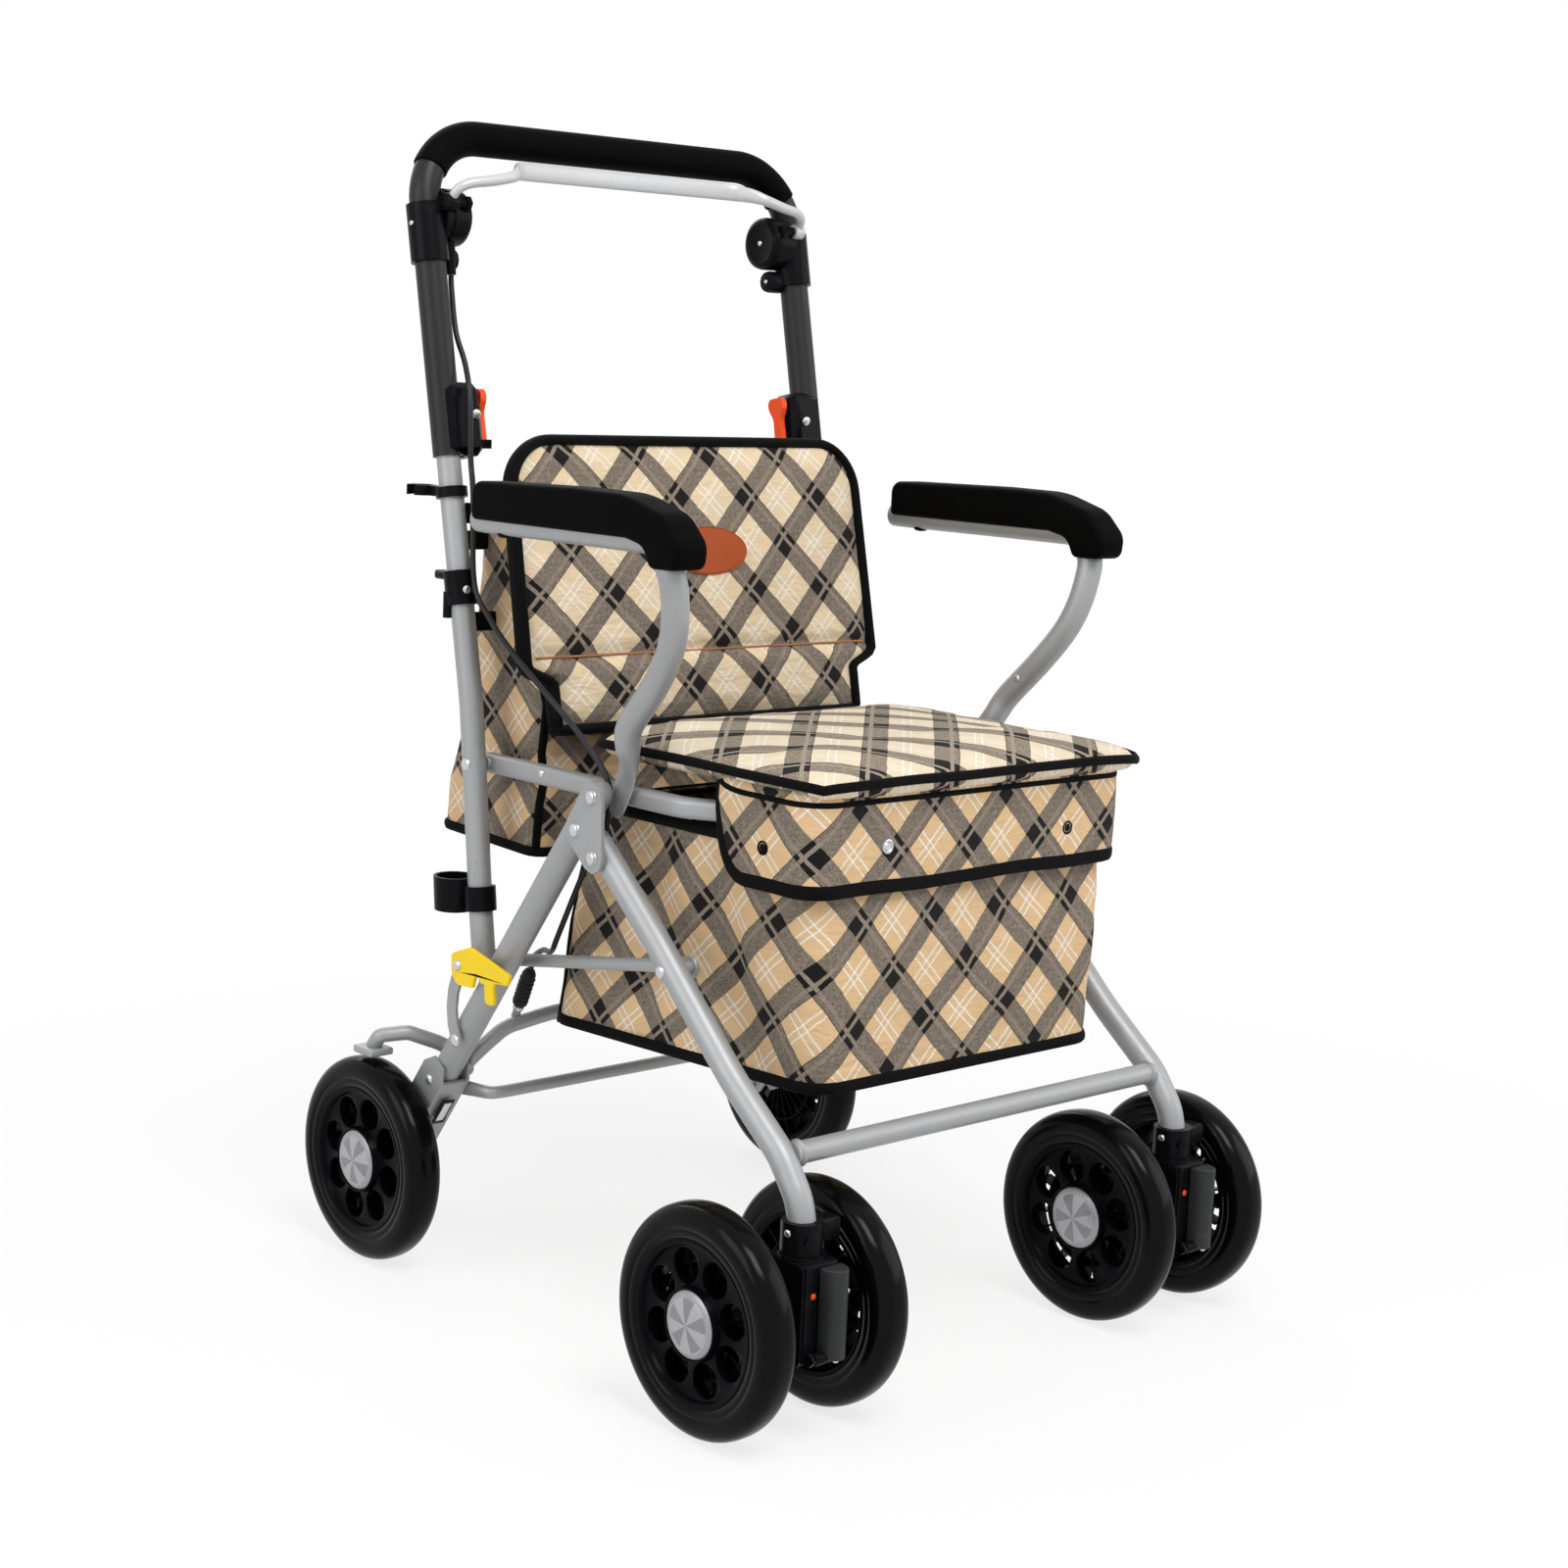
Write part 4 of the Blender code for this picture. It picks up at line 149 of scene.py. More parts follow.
class Field:
    """A shader socket that sums and products can be written with."""

    def __init__(self, look, socket):
        self.look = look
        self.socket = socket

    def math(self, operation, *others):
        values = dict(enumerate((self, *others)))
        return self.look.node("ShaderNodeMath", {"operation": operation}, values)

    def __add__(self, other):
        return self.math("ADD", other)

    __radd__ = __add__

    def __sub__(self, other):
        return self.math("SUBTRACT", other)

    def __mul__(self, other):
        return self.math("MULTIPLY", other)

    def __gt__(self, other):
        return self.math("GREATER_THAN", other)

    def __lt__(self, other):
        return self.math("LESS_THAN", other)

    def within(self, low, high):
        """1 between low and high, 0 elsewhere."""
        return (self > low) * (self < high)

    def either(self, other):
        """1 where one of two masks is 1."""
        return self + other - self * other

    def folded(self, span):
        """Runs up and down between 0 and the span."""
        return self.math("PINGPONG", span)


class Look:
    """A finish: one Principled shader, with what varies over the surface linked to it."""

    def __init__(self, name, colour, roughness, metallic=0.0, **fixed):
        self.material = bpy.data.materials.new(name)
        self.material.use_nodes = True
        self.material.diffuse_color = (*colour, 1)
        self.tree = self.material.node_tree
        self.shader = self.tree.nodes["Principled BSDF"]
        self.feed("Base Color", (*colour, 1))
        self.feed("Roughness", roughness)
        self.feed("Metallic", metallic)
        for socket, value in fixed.items():
            self.feed(socket.replace("_", " ").title().replace("Ior", "IOR"), value)

    def feed(self, name, value):
        """Sets a socket of the shader, or links a field to it."""
        self.fill(self.shader.inputs[name], value)

    def fill(self, socket, value):
        if isinstance(value, Field):
            self.tree.links.new(value.socket, socket)
        else:
            socket.default_value = value

    def node(self, kind, settings, values, output=0):
        """One node: its settings first, then the values or links of its sockets."""
        made = self.tree.nodes.new(kind)
        for key, value in settings.items():
            setattr(made, key, value)
        for key, value in values.items():
            self.fill(made.inputs[key], value)
        return Field(self, made.outputs[output])

    def place(self):
        """The place in the object, in metres."""
        return self.node("ShaderNodeTexCoord", {}, {}, "Object")

    def mapped(self, where, **change):
        """A place after its Rotation or Scale."""
        values = {"Vector": where, **change}
        return self.node("ShaderNodeMapping", {"vector_type": "POINT"}, values)

    def on_cloth(self, turn):
        """The place on the plaid, in metres, turned by this angle."""
        where = self.node("ShaderNodeUVMap", {"uv_map": "cloth"}, {})
        return self.mapped(where, Rotation=(0, 0, turn))

    def split(self, where):
        """The x and the y of a place."""
        parts = self.tree.nodes.new("ShaderNodeSeparateXYZ")
        self.fill(parts.inputs[0], where)
        return Field(self, parts.outputs[0]), Field(self, parts.outputs[1])

    def distance(self, where):
        """How far a place is from the origin."""
        return self.node("ShaderNodeVectorMath", {"operation": "LENGTH"}, {0: where}, 1)

    def noise(self, where, scale, detail=2.0, rough=0.5):
        """A noise between about 0.3 and 0.7, with one scale or one for each axis."""
        if isinstance(scale, tuple):
            where = self.mapped(where, Scale=scale)
            scale = 1
        values = {"Vector": where, "Scale": scale, "Detail": detail, "Roughness": rough}
        return self.node("ShaderNodeTexNoise", {}, values, "Fac")

    def mix(self, factor, one, two):
        """A colour between two others."""
        values = {0: factor, 6: one, 7: two}
        return self.node("ShaderNodeMix", {"data_type": "RGBA"}, values, 2)

    def tones(self, factor, colour, one, two):
        """A colour between two shades of it."""
        return self.mix(factor, shade(colour, one), shade(colour, two))

    def ramp(self, value, low, high):
        """0 below low and 1 above high, smooth between."""
        values = {"Value": value, "From Min": low, "From Max": high}
        return self.node("ShaderNodeMapRange", {"interpolation_type": "SMOOTHSTEP"}, values)

    def bump(self, height, distance, strength):
        values = {"Height": height, "Distance": distance, "Strength": strength}
        self.feed("Normal", self.node("ShaderNodeBump", {}, values))


def shade(colour, factor):
    """The colour made darker or lighter."""
    return (*(min(part * factor, 1) for part in colour[:3]), 1)


def moulded(name, colour, roughness, grain=900, depth=0.00006, uneven=0.25, wear=0.35, gloss=0.3):
    """Moulded plastic or rubber: fine grain, cloudy colour and rubbed spots."""
    look = Look(name, colour, roughness, specular_ior_level=gloss)
    where = look.place()
    cloud = look.noise(where, 22, 3)
    fine = look.noise(where, grain, 2)
    rubbed = look.ramp(look.noise(where, 70, 4, 0.65), 0.56, 0.70)
    base = look.tones(cloud, colour, 1 - uneven, 1 + uneven)
    worn = tuple(part + (0.16 - part) * 0.25 if part < 0.16 else part * 0.9 for part in colour)
    look.feed("Base Color", look.mix(rubbed * wear, base, (*worn, 1)))
    look.feed("Roughness", roughness - 0.07 + fine * 0.14 + rubbed * 0.06)
    look.bump(fine + cloud * 0.5, depth, 0.6)
    return look


def painted(name, colour, roughness, metallic, coat=0.18, **fixed):
    """Paint over a tube: a fine flake, a little orange peel, dull streaks and small scuffs."""
    look = Look(name, colour, roughness, metallic, coat_weight=coat, coat_roughness=0.25, **fixed)
    where = look.place()
    flake = look.noise(where, 1600, 1)
    cloud = look.noise(where, 14, 3)
    streak = look.noise(where, (90, 90, 9), 3, 0.6)
    scuffs = look.ramp(look.noise(where, (240, 240, 60), 3, 0.7), 0.66, 0.72)
    base = look.tones(flake, colour, 0.86, 1.14)
    base = look.mix(cloud * 0.5, base, shade(colour, 0.88))
    look.feed("Base Color", look.mix(scuffs * 0.35, base, shade(colour, 0.62)))
    look.feed("Roughness", roughness - 0.06 + streak * 0.16 + scuffs * 0.12)
    look.feed("Metallic", metallic + flake * 0.1 - 0.05)
    look.bump(look.noise(where, 260, 2) + flake * 0.15 - scuffs * 0.2, 0.00005, 0.5)
    return look


def bare_steel(name, colour, roughness):
    """Turned or brushed steel for screws, rivets and pins."""
    look = Look(name, colour, roughness, 0.9)
    where = look.place()
    fine = look.noise(where, (400, 2600, 2600), 2)
    cloud = look.noise(where, 120, 3)
    look.feed("Base Color", look.tones(cloud, colour, 0.8, 1.15))
    look.feed("Roughness", roughness - 0.05 + fine * 0.16)
    look.bump(fine, 0.00002, 0.5)
    return look


def plaid(name, cream, taupe):
    """The woven plaid: cream diamonds with a white pane, taupe bands and black crossings."""
    look = Look(name, cream, 0.92, sheen_weight=0.04, sheen_roughness=0.5, specular_ior_level=0.1)
    cloth = look.on_cloth(math.pi / 4)
    flat = look.on_cloth(0.0)
    wobble = (look.noise(flat, 90, 2) - 0.5) * 0.0016
    band_from, gap_from, gap_to, line_from, band_to = 0.01685, 0.02845, 0.03145, 0.0345, 0.03545
    bands, darks, gaps, panes, lines = [], [], [], [], []
    for run in look.split(cloth):
        run = run + wobble + 40.5 * PLAID
        fold = run.folded(PLAID)
        middle = (run + 0.00275).folded(PLAID / 2)
        bands.append(fold.within(band_from, band_to))
        darks.append(fold.within(band_from, gap_from) + fold.within(gap_to, band_to))
        gaps.append(fold.within(gap_from, gap_to))
        lines.append(fold.within(line_from, band_to))
        panes.append(middle.within(0.00205, 0.00345))
    thread = look.noise(cloth, (1500, 260, 1), 2, 0.7)
    cross = look.noise(cloth, (260, 1500, 1), 2, 0.7)
    fleck = look.ramp(thread + cross, 0.88, 1.12)
    blotch = look.ramp(look.noise(cloth, (320, 320, 1), 3, 0.7), 0.42, 0.62)
    cloud = look.noise(flat, 26, 3)
    ground = look.tones(cloud, cream, 0.90, 1.08)
    ground = look.mix(fleck * 0.22, ground, shade(cream, 0.72))
    ground = look.mix((panes[0] + panes[1]) * 0.72, ground, PALE)
    band = look.tones(fleck, taupe, 1.45, 0.62)
    band = look.mix(blotch * 0.55, band, shade(taupe, 0.80))
    band = look.mix(gaps[0].either(gaps[1]) * 0.35, band, shade(taupe, 1.9))
    band = look.mix(lines[0].either(lines[1]) * 0.75, band, shade(taupe, 0.45))
    colour = look.mix(bands[0].either(bands[1]), ground, band)
    look.feed("Base Color", look.mix(darks[0] * darks[1] * 0.97, colour, INK))
    look.feed("Roughness", 0.82 + fleck * 0.12)
    weave = look.node("ShaderNodeTexChecker", {}, {"Vector": flat, "Scale": 900}, "Fac")
    crinkle = look.noise(flat, (55, 130, 1), 3, 0.6)
    look.bump(crinkle + weave * 0.05 + fleck * 0.08, 0.0042, 0.7)
    return look


def webbing(name, colour):
    """Folded woven tape along the edges of the cloth."""
    look = Look(name, colour, 0.85, sheen_weight=0.02, specular_ior_level=0.06)
    where = look.place()
    rib = look.noise(where, (900, 900, 900), 1)
    cloud = look.noise(where, 60, 3)
    look.feed("Base Color", look.tones(cloud * rib, colour, 1, 3.2))
    look.feed("Roughness", 0.72 + rib * 0.2)
    look.bump(rib + cloud, 0.0004, 0.6)
    return look


def hub_disc(name, colour):
    """Brushed silver disc with darker petals round its middle."""
    look = Look(name, colour, 0.36, 0.55)
    where = look.node("ShaderNodeUVMap", {"uv_map": "disc"}, {})
    across, along = look.split(where)
    turn = (across.math("ARCTAN2", along) + math.pi) * (5 / math.pi)
    reach = look.distance(where)
    petal = (turn.folded(1.0) > 0.5) * (reach < 0.0188)
    rim = look.ramp(reach, 0.0196, 0.0202)
    fine = look.noise(look.place(), (900, 300, 300), 2)
    base = look.tones(petal * 0.85, colour, 1.0, 0.42)
    base = look.mix(rim * 0.5, base, shade(colour, 0.55))
    look.feed("Base Color", look.mix(fine * 0.3, base, shade(colour, 1.25)))
    look.feed("Roughness", 0.30 + fine * 0.16)
    look.bump(petal * 0.4 + fine * 0.3, 0.0002, 0.4)
    return look


PLAID = 0.0527
NEAR_BLACK = (0.002, 0.002, 0.002)
DARK = (0.006, 0.006, 0.006)
TAUPE = (0.225, 0.185, 0.145)
INK = (0.004, 0.004, 0.005, 1)
PALE = (0.93, 0.90, 0.86, 1)
SILVER = painted("silver_grey_paint", (0.345, 0.350, 0.355), 0.44, 0.30, 0.10)
BLACK_PAINT = painted(
    "black_tube_paint", (0.006, 0.006, 0.007), 0.42, 0.05, 0.0, specular_ior_level=0.3
)
WHITE = painted("white_lever_paint", (0.52, 0.53, 0.54), 0.40, 0.15)
STEEL = bare_steel("bright_steel", (0.60, 0.60, 0.61), 0.28)
BLACK = moulded("black_moulding", (0.004, 0.004, 0.005), 0.30, wear=0.10, gloss=0.06)
CHARCOAL = moulded("charcoal_moulding", (0.020, 0.021, 0.022), 0.50)
RIM = moulded("wheel_moulding", (0.002, 0.002, 0.003), 0.26, 1100, 0.00004, wear=0.02, gloss=0.04)
TYRE = moulded("tyre_rubber", (0.002, 0.002, 0.0024), 0.17, 700, 0.00002, wear=0.01, gloss=0.09)
FOAM = moulded("foam_skin", NEAR_BLACK, 0.56, 1500, 0.0002, wear=0.01, gloss=0.02)
BOOT = moulded("boot_rubber", DARK, 0.60)
JACKET = moulded("cable_jacket", DARK, 0.45)
ORANGE = moulded("orange_lever", (0.86, 0.075, 0.003), 0.42, wear=0.15, uneven=0.10)
YELLOW = moulded("yellow_latch", (0.92, 0.64, 0.004), 0.40, wear=0.10, uneven=0.08)
PATCH = moulded("plain_orange_patch", (0.34, 0.058, 0.006), 0.55, wear=0.3)
TAPE = webbing("black_binding", NEAR_BLACK)
TAN_SEAM = webbing("tan_seam", (0.22, 0.10, 0.05))
# The bag's copy of the plaid is darker than the others: painted shade, as the bag sits under the
# seat; the flap and the pouch use it too.
BAG_CLOTH_PAINTED_SHADE = plaid("plaid_bag_painted_shade", (0.810, 0.560, 0.310), TAUPE)
BACK_CLOTH = plaid("plaid_back", (0.860, 0.690, 0.460), TAUPE)
# The seat's copy of the plaid is lighter, in cream and bands alike: painted light on the top-lit
# seat.
SEAT_CLOTH_PAINTED_LIGHT = plaid("plaid_seat_painted_light", (0.880, 0.750, 0.550), (0.300, 0.250, 0.195))
DISC = hub_disc("hub_disc", (0.38, 0.38, 0.40))


# Building blocks


def mesh_of(name, shape):
    """The shape as a mesh. The shape is used up."""
    mesh = bpy.data.meshes.new(name)
    shape.to_mesh(mesh)
    shape.free()
    return mesh


def shape_of(mesh):
    shape = bmesh.new()
    shape.from_mesh(mesh)
    return shape


def evaluated(obj, *helpers):
    """The object as Blender evaluates it. The object and its helpers are removed."""
    bpy.context.view_layer.update()
    graph = bpy.context.evaluated_depsgraph_get()
    mesh = bpy.data.meshes.new_from_object(obj.evaluated_get(graph))
    for used in (obj, *helpers):
        bpy.data.objects.remove(used)
    shape = shape_of(mesh)
    bpy.data.meshes.remove(mesh)
    return shape


def add(shape, *others):
    """The shape with the others in it."""
    for other in others:
        mesh = mesh_of("extra", other)
        shape.from_mesh(mesh)
        bpy.data.meshes.remove(mesh)
    return shape


def moved(shape, matrix):
    bmesh.ops.transform(shape, matrix=matrix, verts=shape.verts)
    return shape


def cleaned(shape):
    """The shape with its doubles merged and its faces turned outward."""
    bmesh.ops.remove_doubles(shape, verts=shape.verts, dist=0.000002)
    bmesh.ops.recalc_face_normals(shape, faces=shape.faces)
    return shape


def piece(name, shape, look, node, stands_for=False, sharp=40, rides=True):
    """Makes the shape a finished piece on the body of this CAD node, or in place of the node."""
    mesh = mesh_of(name, cleaned(shape))
    mesh.materials.append(look.material)
    mesh.shade_smooth()
    mesh.set_sharp_from_angle(angle=math.radians(sharp))
    made = linked(name, mesh)
    if rides:
        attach(made, BODY_OF[node])
    if stands_for:
        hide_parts(node)
    return made


def with_modifier(obj, kind, **values):
    modifier = obj.modifiers.new(kind.lower(), kind)
    for key, value in values.items():
        setattr(modifier, key, value)
    return obj


def with_soft_edges(obj, width, segments, angle, **values):
    """The object with its edges rounded where they turn by more than this angle."""
    values.update(limit_method="ANGLE", angle_limit=math.radians(angle))
    return with_modifier(obj, "BEVEL", width=width, segments=segments, **values)


def softened(node, look, width, segments=2, like=None, shift=0.0):
    """The CAD part, or one like it further along X, welded and with its sharp edges rounded."""
    shape = shape_of(NODES[like or node].data)
    bmesh.ops.translate(shape, vec=(shift, 0, 0), verts=shape.verts)
    bmesh.ops.remove_doubles(shape, verts=shape.verts, dist=0.00001)
    bmesh.ops.dissolve_limit(
        shape, angle_limit=math.radians(1), verts=shape.verts, edges=shape.edges
    )
    made = piece(f"{node}_body", shape, look, node, True)
    with_soft_edges(made, width, segments, 38, harden_normals=True)


def facing(place, way):
    """A place whose own Z points this way."""
    turn = Vector(way).to_track_quat("Z", "Y").to_matrix().to_4x4()
    return Matrix.Translation(Vector(place)) @ turn


def mirrored(rows):
    """The rows in reverse order with their x turned round."""
    return [(-x, *others) for x, *others in reversed(rows)]


def length_of(path):
    return sum((two - one).length for one, two in zip(path, path[1:]))


def curve_of(path, closed=False, **settings):
    """A curve along the path, or a flat closed outline."""
    curve = bpy.data.curves.new("path", "CURVE")
    curve.dimensions = "2D" if closed else "3D"
    for key, value in settings.items():
        setattr(curve, key, value)
    spline = curve.splines.new("POLY")
    spline.points.add(len(path) - 1)
    for knot, point in zip(spline.points, path):
        knot.co = (*point, 1)
    spline.use_cyclic_u = closed
    return curve


def pipe(path, radius, sides=24):
    """A round bar along the path."""
    rings = (sides - 4) // 2
    curve = curve_of(path, bevel_depth=radius, bevel_resolution=rings, use_fill_caps=True)
    return evaluated(linked("path", curve))


def spun(profile, steps, closed=False):
    """A shape turned round the Z axis from (radius, height) points."""
    shape = bmesh.new()
    knots = [shape.verts.new((radius, 0, height)) for radius, height in profile]
    edges = [shape.edges.new(pair) for pair in zip(knots, knots[1:])]
    if closed:
        edges.append(shape.edges.new((knots[-1], knots[0])))
    bmesh.ops.spin(
        shape,
        geom=knots + edges,
        cent=(0, 0, 0),
        axis=(0, 0, 1),
        angle=math.tau,
        steps=steps,
        use_merge=True,
    )
    return shape


def turned(profile, steps, place, way):
    """A shape turned round an axis that starts at this place and runs this way."""
    return moved(spun(profile, steps), facing(place, way))


def rod(start, end, radius, sides=28, rounding=0.0006):
    """A straight pin with slightly rounded ends."""
    start, end = Vector(start), Vector(end)
    length = (end - start).length
    near = [(radius - rounding, 0), (radius - rounding * 0.3, rounding * 0.3), (radius, rounding)]
    far = [(wide, length - low) for wide, low in reversed(near)]
    return turned([(0, 0), *near, *far, (0, length)], sides, start, end - start)


def cross_pin(side, near, far, place, radius):
    """A pin along X on one side of the frame, between two distances from the middle."""
    return rod((side * near, *place), (side * far, *place), radius)


def dome(radius, height):
    """The profile of a rivet's head, open below."""
    profile = [(0, height), (radius * 0.45, height * 0.94), (radius * 0.78, height * 0.70)]
    return profile + [(radius * 0.96, height * 0.32), (radius, 0), (radius, -height * 0.5)]


def end_cap(end, inner, radius, height):
    """A rounded end for a bar that comes from the inner point."""
    end = Vector(end)
    return turned(dome(radius, height), 32, end, end - Vector(inner))


def rivet(side, x, place, radius, height, way=1):
    """A head on one side of the frame that faces outward, or inward where the way is -1."""
    return ((side * x, *place), (side * way, 0, 0), radius, height)


def heads(name, node, look, places):
    """Rivet or screw heads: each is a place, a way, a radius and a height."""
    shape = bmesh.new()
    for place, way, radius, height in places:
        add(shape, turned(dome(radius, height), 28, place, way))
    piece(name, shape, look, node)


def bevelled(shape, edges, width, segments, clamp=False):
    bmesh.ops.bevel(
        shape,
        geom=edges,
        offset=width,
        segments=segments,
        affect="EDGES",
        profile=0.5,
        material=-1,
        clamp_overlap=clamp,
    )
    return shape


def block(low, high, rounding, segments=3):
    """A box between two corners with rounded edges."""
    low, high = Vector(low), Vector(high)
    size = Matrix.Diagonal((*(high - low), 1))
    shape = bmesh.new()
    bmesh.ops.create_cube(shape, size=1, matrix=Matrix.Translation((low + high) / 2) @ size)
    return bevelled(shape, list(shape.edges), rounding, segments)


def slab(outline, way):
    """The outline, a ring of places, drawn out this way."""
    shape = bmesh.new()
    face = shape.faces.new([shape.verts.new(spot) for spot in outline])
    grown = bmesh.ops.extrude_face_region(shape, geom=[face])["geom"]
    moving = [part for part in grown if isinstance(part, bmesh.types.BMVert)]
    bmesh.ops.translate(shape, vec=way, verts=moving)
    return shape


def rounded(points, radius, steps, closed=False):
    """The path with an arc of this radius, or of a radius each, in place of its corners."""
    corners = [Vector(point).to_3d() for point in points]
    count = len(corners)
    path = [] if closed else [corners[0]]
    for index in range(count) if closed else range(1, count - 1):
        corner = corners[index]
        before = corner - corners[index - 1]
        after = corners[(index + 1) % count] - corner
        way_in, way_out = before.normalized(), after.normalized()
        turn = way_in.angle(way_out)
        wanted = radius[index] if isinstance(radius, (list, tuple)) else radius
        if turn < 0.01 or wanted == 0:
            path.append(corner)
            continue
        reach = min(wanted * math.tan(turn / 2), 0.49 * min(before.length, after.length))
        start = corner - way_in * reach
        arc = reach / math.tan(turn / 2)
        centre = corner + (way_out - way_in).normalized() * (arc / math.cos(turn / 2))
        axis = way_in.cross(way_out)
        for step in range(steps + 1):
            swing = Matrix.Rotation(turn * step / steps, 3, axis)
            path.append(centre + swing @ (start - centre))
    if not closed:
        path.append(corners[-1])
    return path


def smooth(rows, steps):
    """Rows of numbers with a smooth curve's steps between neighbours."""
    rows = [Vector(row) for row in rows]
    rows = [2 * rows[0] - rows[1], *rows, 2 * rows[-1] - rows[-2]]
    path = []
    for index in range(1, len(rows) - 2):
        a, b, c, d = rows[index - 1 : index + 3]
        for step in range(steps):
            t = step / steps
            bend = (2 * a - 5 * b + 4 * c - d) * t * t + (3 * b - a - 3 * c + d) * t * t * t
            path.append(0.5 * (2 * b + (c - a) * t + bend))
    path.append(rows[-2])
    return path


def spaced(path, count):
    """The path as count + 1 points an equal way apart."""
    lengths = [0.0]
    for one, two in zip(path, path[1:]):
        lengths.append(lengths[-1] + (two - one).length)
    points = []
    index = 0
    for step in range(count + 1):
        goal = lengths[-1] * step / count
        while index < len(path) - 2 and lengths[index + 1] < goal:
            index += 1
        span = max(lengths[index + 1] - lengths[index], 1e-9)
        points.append(path[index].lerp(path[index + 1], min((goal - lengths[index]) / span, 1)))
    return points


def lofted(sections, hint, sides):
    """A bar through oval sections: x, y, z, half size along the hint, other half size."""
    hints = hint if isinstance(hint, list) else [hint] * len(sections)
    centres = [Vector(section[:3]) for section in sections]
    frames = []
    for index, (*_, wide, deep) in enumerate(sections):
        ahead = centres[min(index + 1, len(centres) - 1)]
        along = (ahead - centres[max(index - 1, 0)]).normalized()
        across = (hints[index] - along * along.dot(hints[index])).normalized()
        other = along.cross(across)
        frames.append(with_axes(centres[index], across * wide, other * deep, along))
    shape = bmesh.new()
    bmesh.ops.create_circle(shape, cap_ends=True, segments=sides, radius=1, matrix=frames[0])
    rim = list(shape.edges)
    for before, after in zip(frames, frames[1:]):
        grown = bmesh.ops.extrude_edge_only(shape, edges=rim)["geom"]
        ring = {part for part in grown if isinstance(part, bmesh.types.BMVert)}
        edges = [part for part in grown if isinstance(part, bmesh.types.BMEdge)]
        rim = [edge for edge in edges if ring.issuperset(edge.verts)]
        bmesh.ops.transform(shape, matrix=after @ before.inverted(), verts=list(ring))
    bmesh.ops.contextual_create(shape, geom=rim)
    return shape


def tape(path, hint, wide, thick, sides=16):
    """A folded tape along a path, with its width along the hint."""
    return lofted([(*point, wide / 2, thick / 2) for point in path], hint, sides)


def closed_tape(path, hint, wide, thick):
    """A tape that comes back to its start."""
    return tape([*path, path[0], path[1]], hint, wide, thick)


def strap(start, end, wide, thick):
    """A short band of tape between two places."""
    start, end = Vector(start), Vector(end)
    return tape([start.lerp(end, step / 8) for step in range(9)], UP, wide, thick)


def cloth_grid(rows, pattern):
    """A grid of cloth through rows of points, each with its place on the plaid in metres."""
    high = len(rows) - 1
    wide = len(rows[0]) - 1
    shape = bmesh.new()
    bmesh.ops.create_grid(shape, x_segments=wide, y_segments=high, size=0.5)
    layer = shape.loops.layers.uv.new("cloth")
    spots = {}
    for vert in shape.verts:
        spots[vert] = (round((vert.co.y + 0.5) * high), round((vert.co.x + 0.5) * wide))
    for face in shape.faces:
        for loop in face.loops:
            row, column = spots[loop.vert]
            loop[layer].uv = pattern[row][column]
    for vert, (row, column) in spots.items():
        vert.co = rows[row][column]
    return shape


def cloth_floor(ring, steps):
    """Cloth from the middle out to the ring, with the plaid laid on from above."""
    centre = sum(ring, Vector()) / len(ring)
    shares = [max(step / steps, 0.01) for step in range(steps + 1)]
    rows = [[centre.lerp(point, share) for point in ring] for share in shares]
    return cloth_grid(rows, [[point.xy for point in row] for row in rows])


def box_path(half, near, far, radius, steps):
    """A rounded box in plan that starts and ends in the middle of its near side."""
    right = [(0, near, 0), (-half, near, 0), (-half, far, 0)]
    return rounded(right + mirrored(right), radius, steps)


def outward_at(path, index):
    """The way out of a path that runs round its middle."""
    along = path[min(index + 1, len(path) - 1)] - path[max(index - 1, 0)]
    along.normalize()
    return Vector((along.y, -along.x, 0))


def ripple(across, along, scale, seed):
    """A smooth unevenness between about -1 and 1."""
    return noise.noise(Vector((across, along, 0)) * scale + Vector((seed, seed * 0.7, -seed)))


# Wheels


def tyre_shape():
    """Round-shouldered tyre with a moulded line on each side."""
    half = [(0.0590, 0.0128), (0.0602, 0.0138), (0.0640, 0.0144)]
    half += [(0.0652, 0.0140), (0.0664, 0.0145), (0.0675, 0.0149)]
    for step in range(13):
        angle = math.pi / 2 * step / 12
        reach = 0.0150 * math.cos(angle) ** 0.75
        half.append((0.0690 + 0.0135 * math.sin(angle) ** 0.9, reach))
    other = [(radius, -reach) for radius, reach in reversed(half[:-1])]
    return spun(half + other, 96, closed=True)


def rim_ribs():
    """Thin ribs behind the web, with a hoop through them."""
    ribs = bmesh.new()
    count = 24
    for index in range(count):
        rib = block((0.0120, -0.0008, -0.0125), (0.0540, 0.0008, 0.0006), 0.0003, 1)
        add(ribs, moved(rib, Matrix.Rotation(math.tau * (index + 0.4) / count, 4, "Z")))
    hoop = [(0.0400, -0.0120), (0.0418, -0.0120), (0.0418, 0.0004), (0.0400, 0.0004)]
    return add(ribs, spun(hoop, 64, closed=True))


def rim_openings():
    """Eight tapered cutters for the openings of the web."""
    openings = bmesh.new()
    count, reach = 8, 0.0394
    for index in range(count):
        angle = math.tau * (index + 0.25) / count
        place = (reach * math.cos(angle), reach * math.sin(angle), 0)
        bmesh.ops.create_cone(
            openings,
            cap_ends=True,
            segments=40,
            radius1=0.0112,
            radius2=0.0132,
            depth=0.04,
            matrix=Matrix.Translation(place),
        )
    return openings


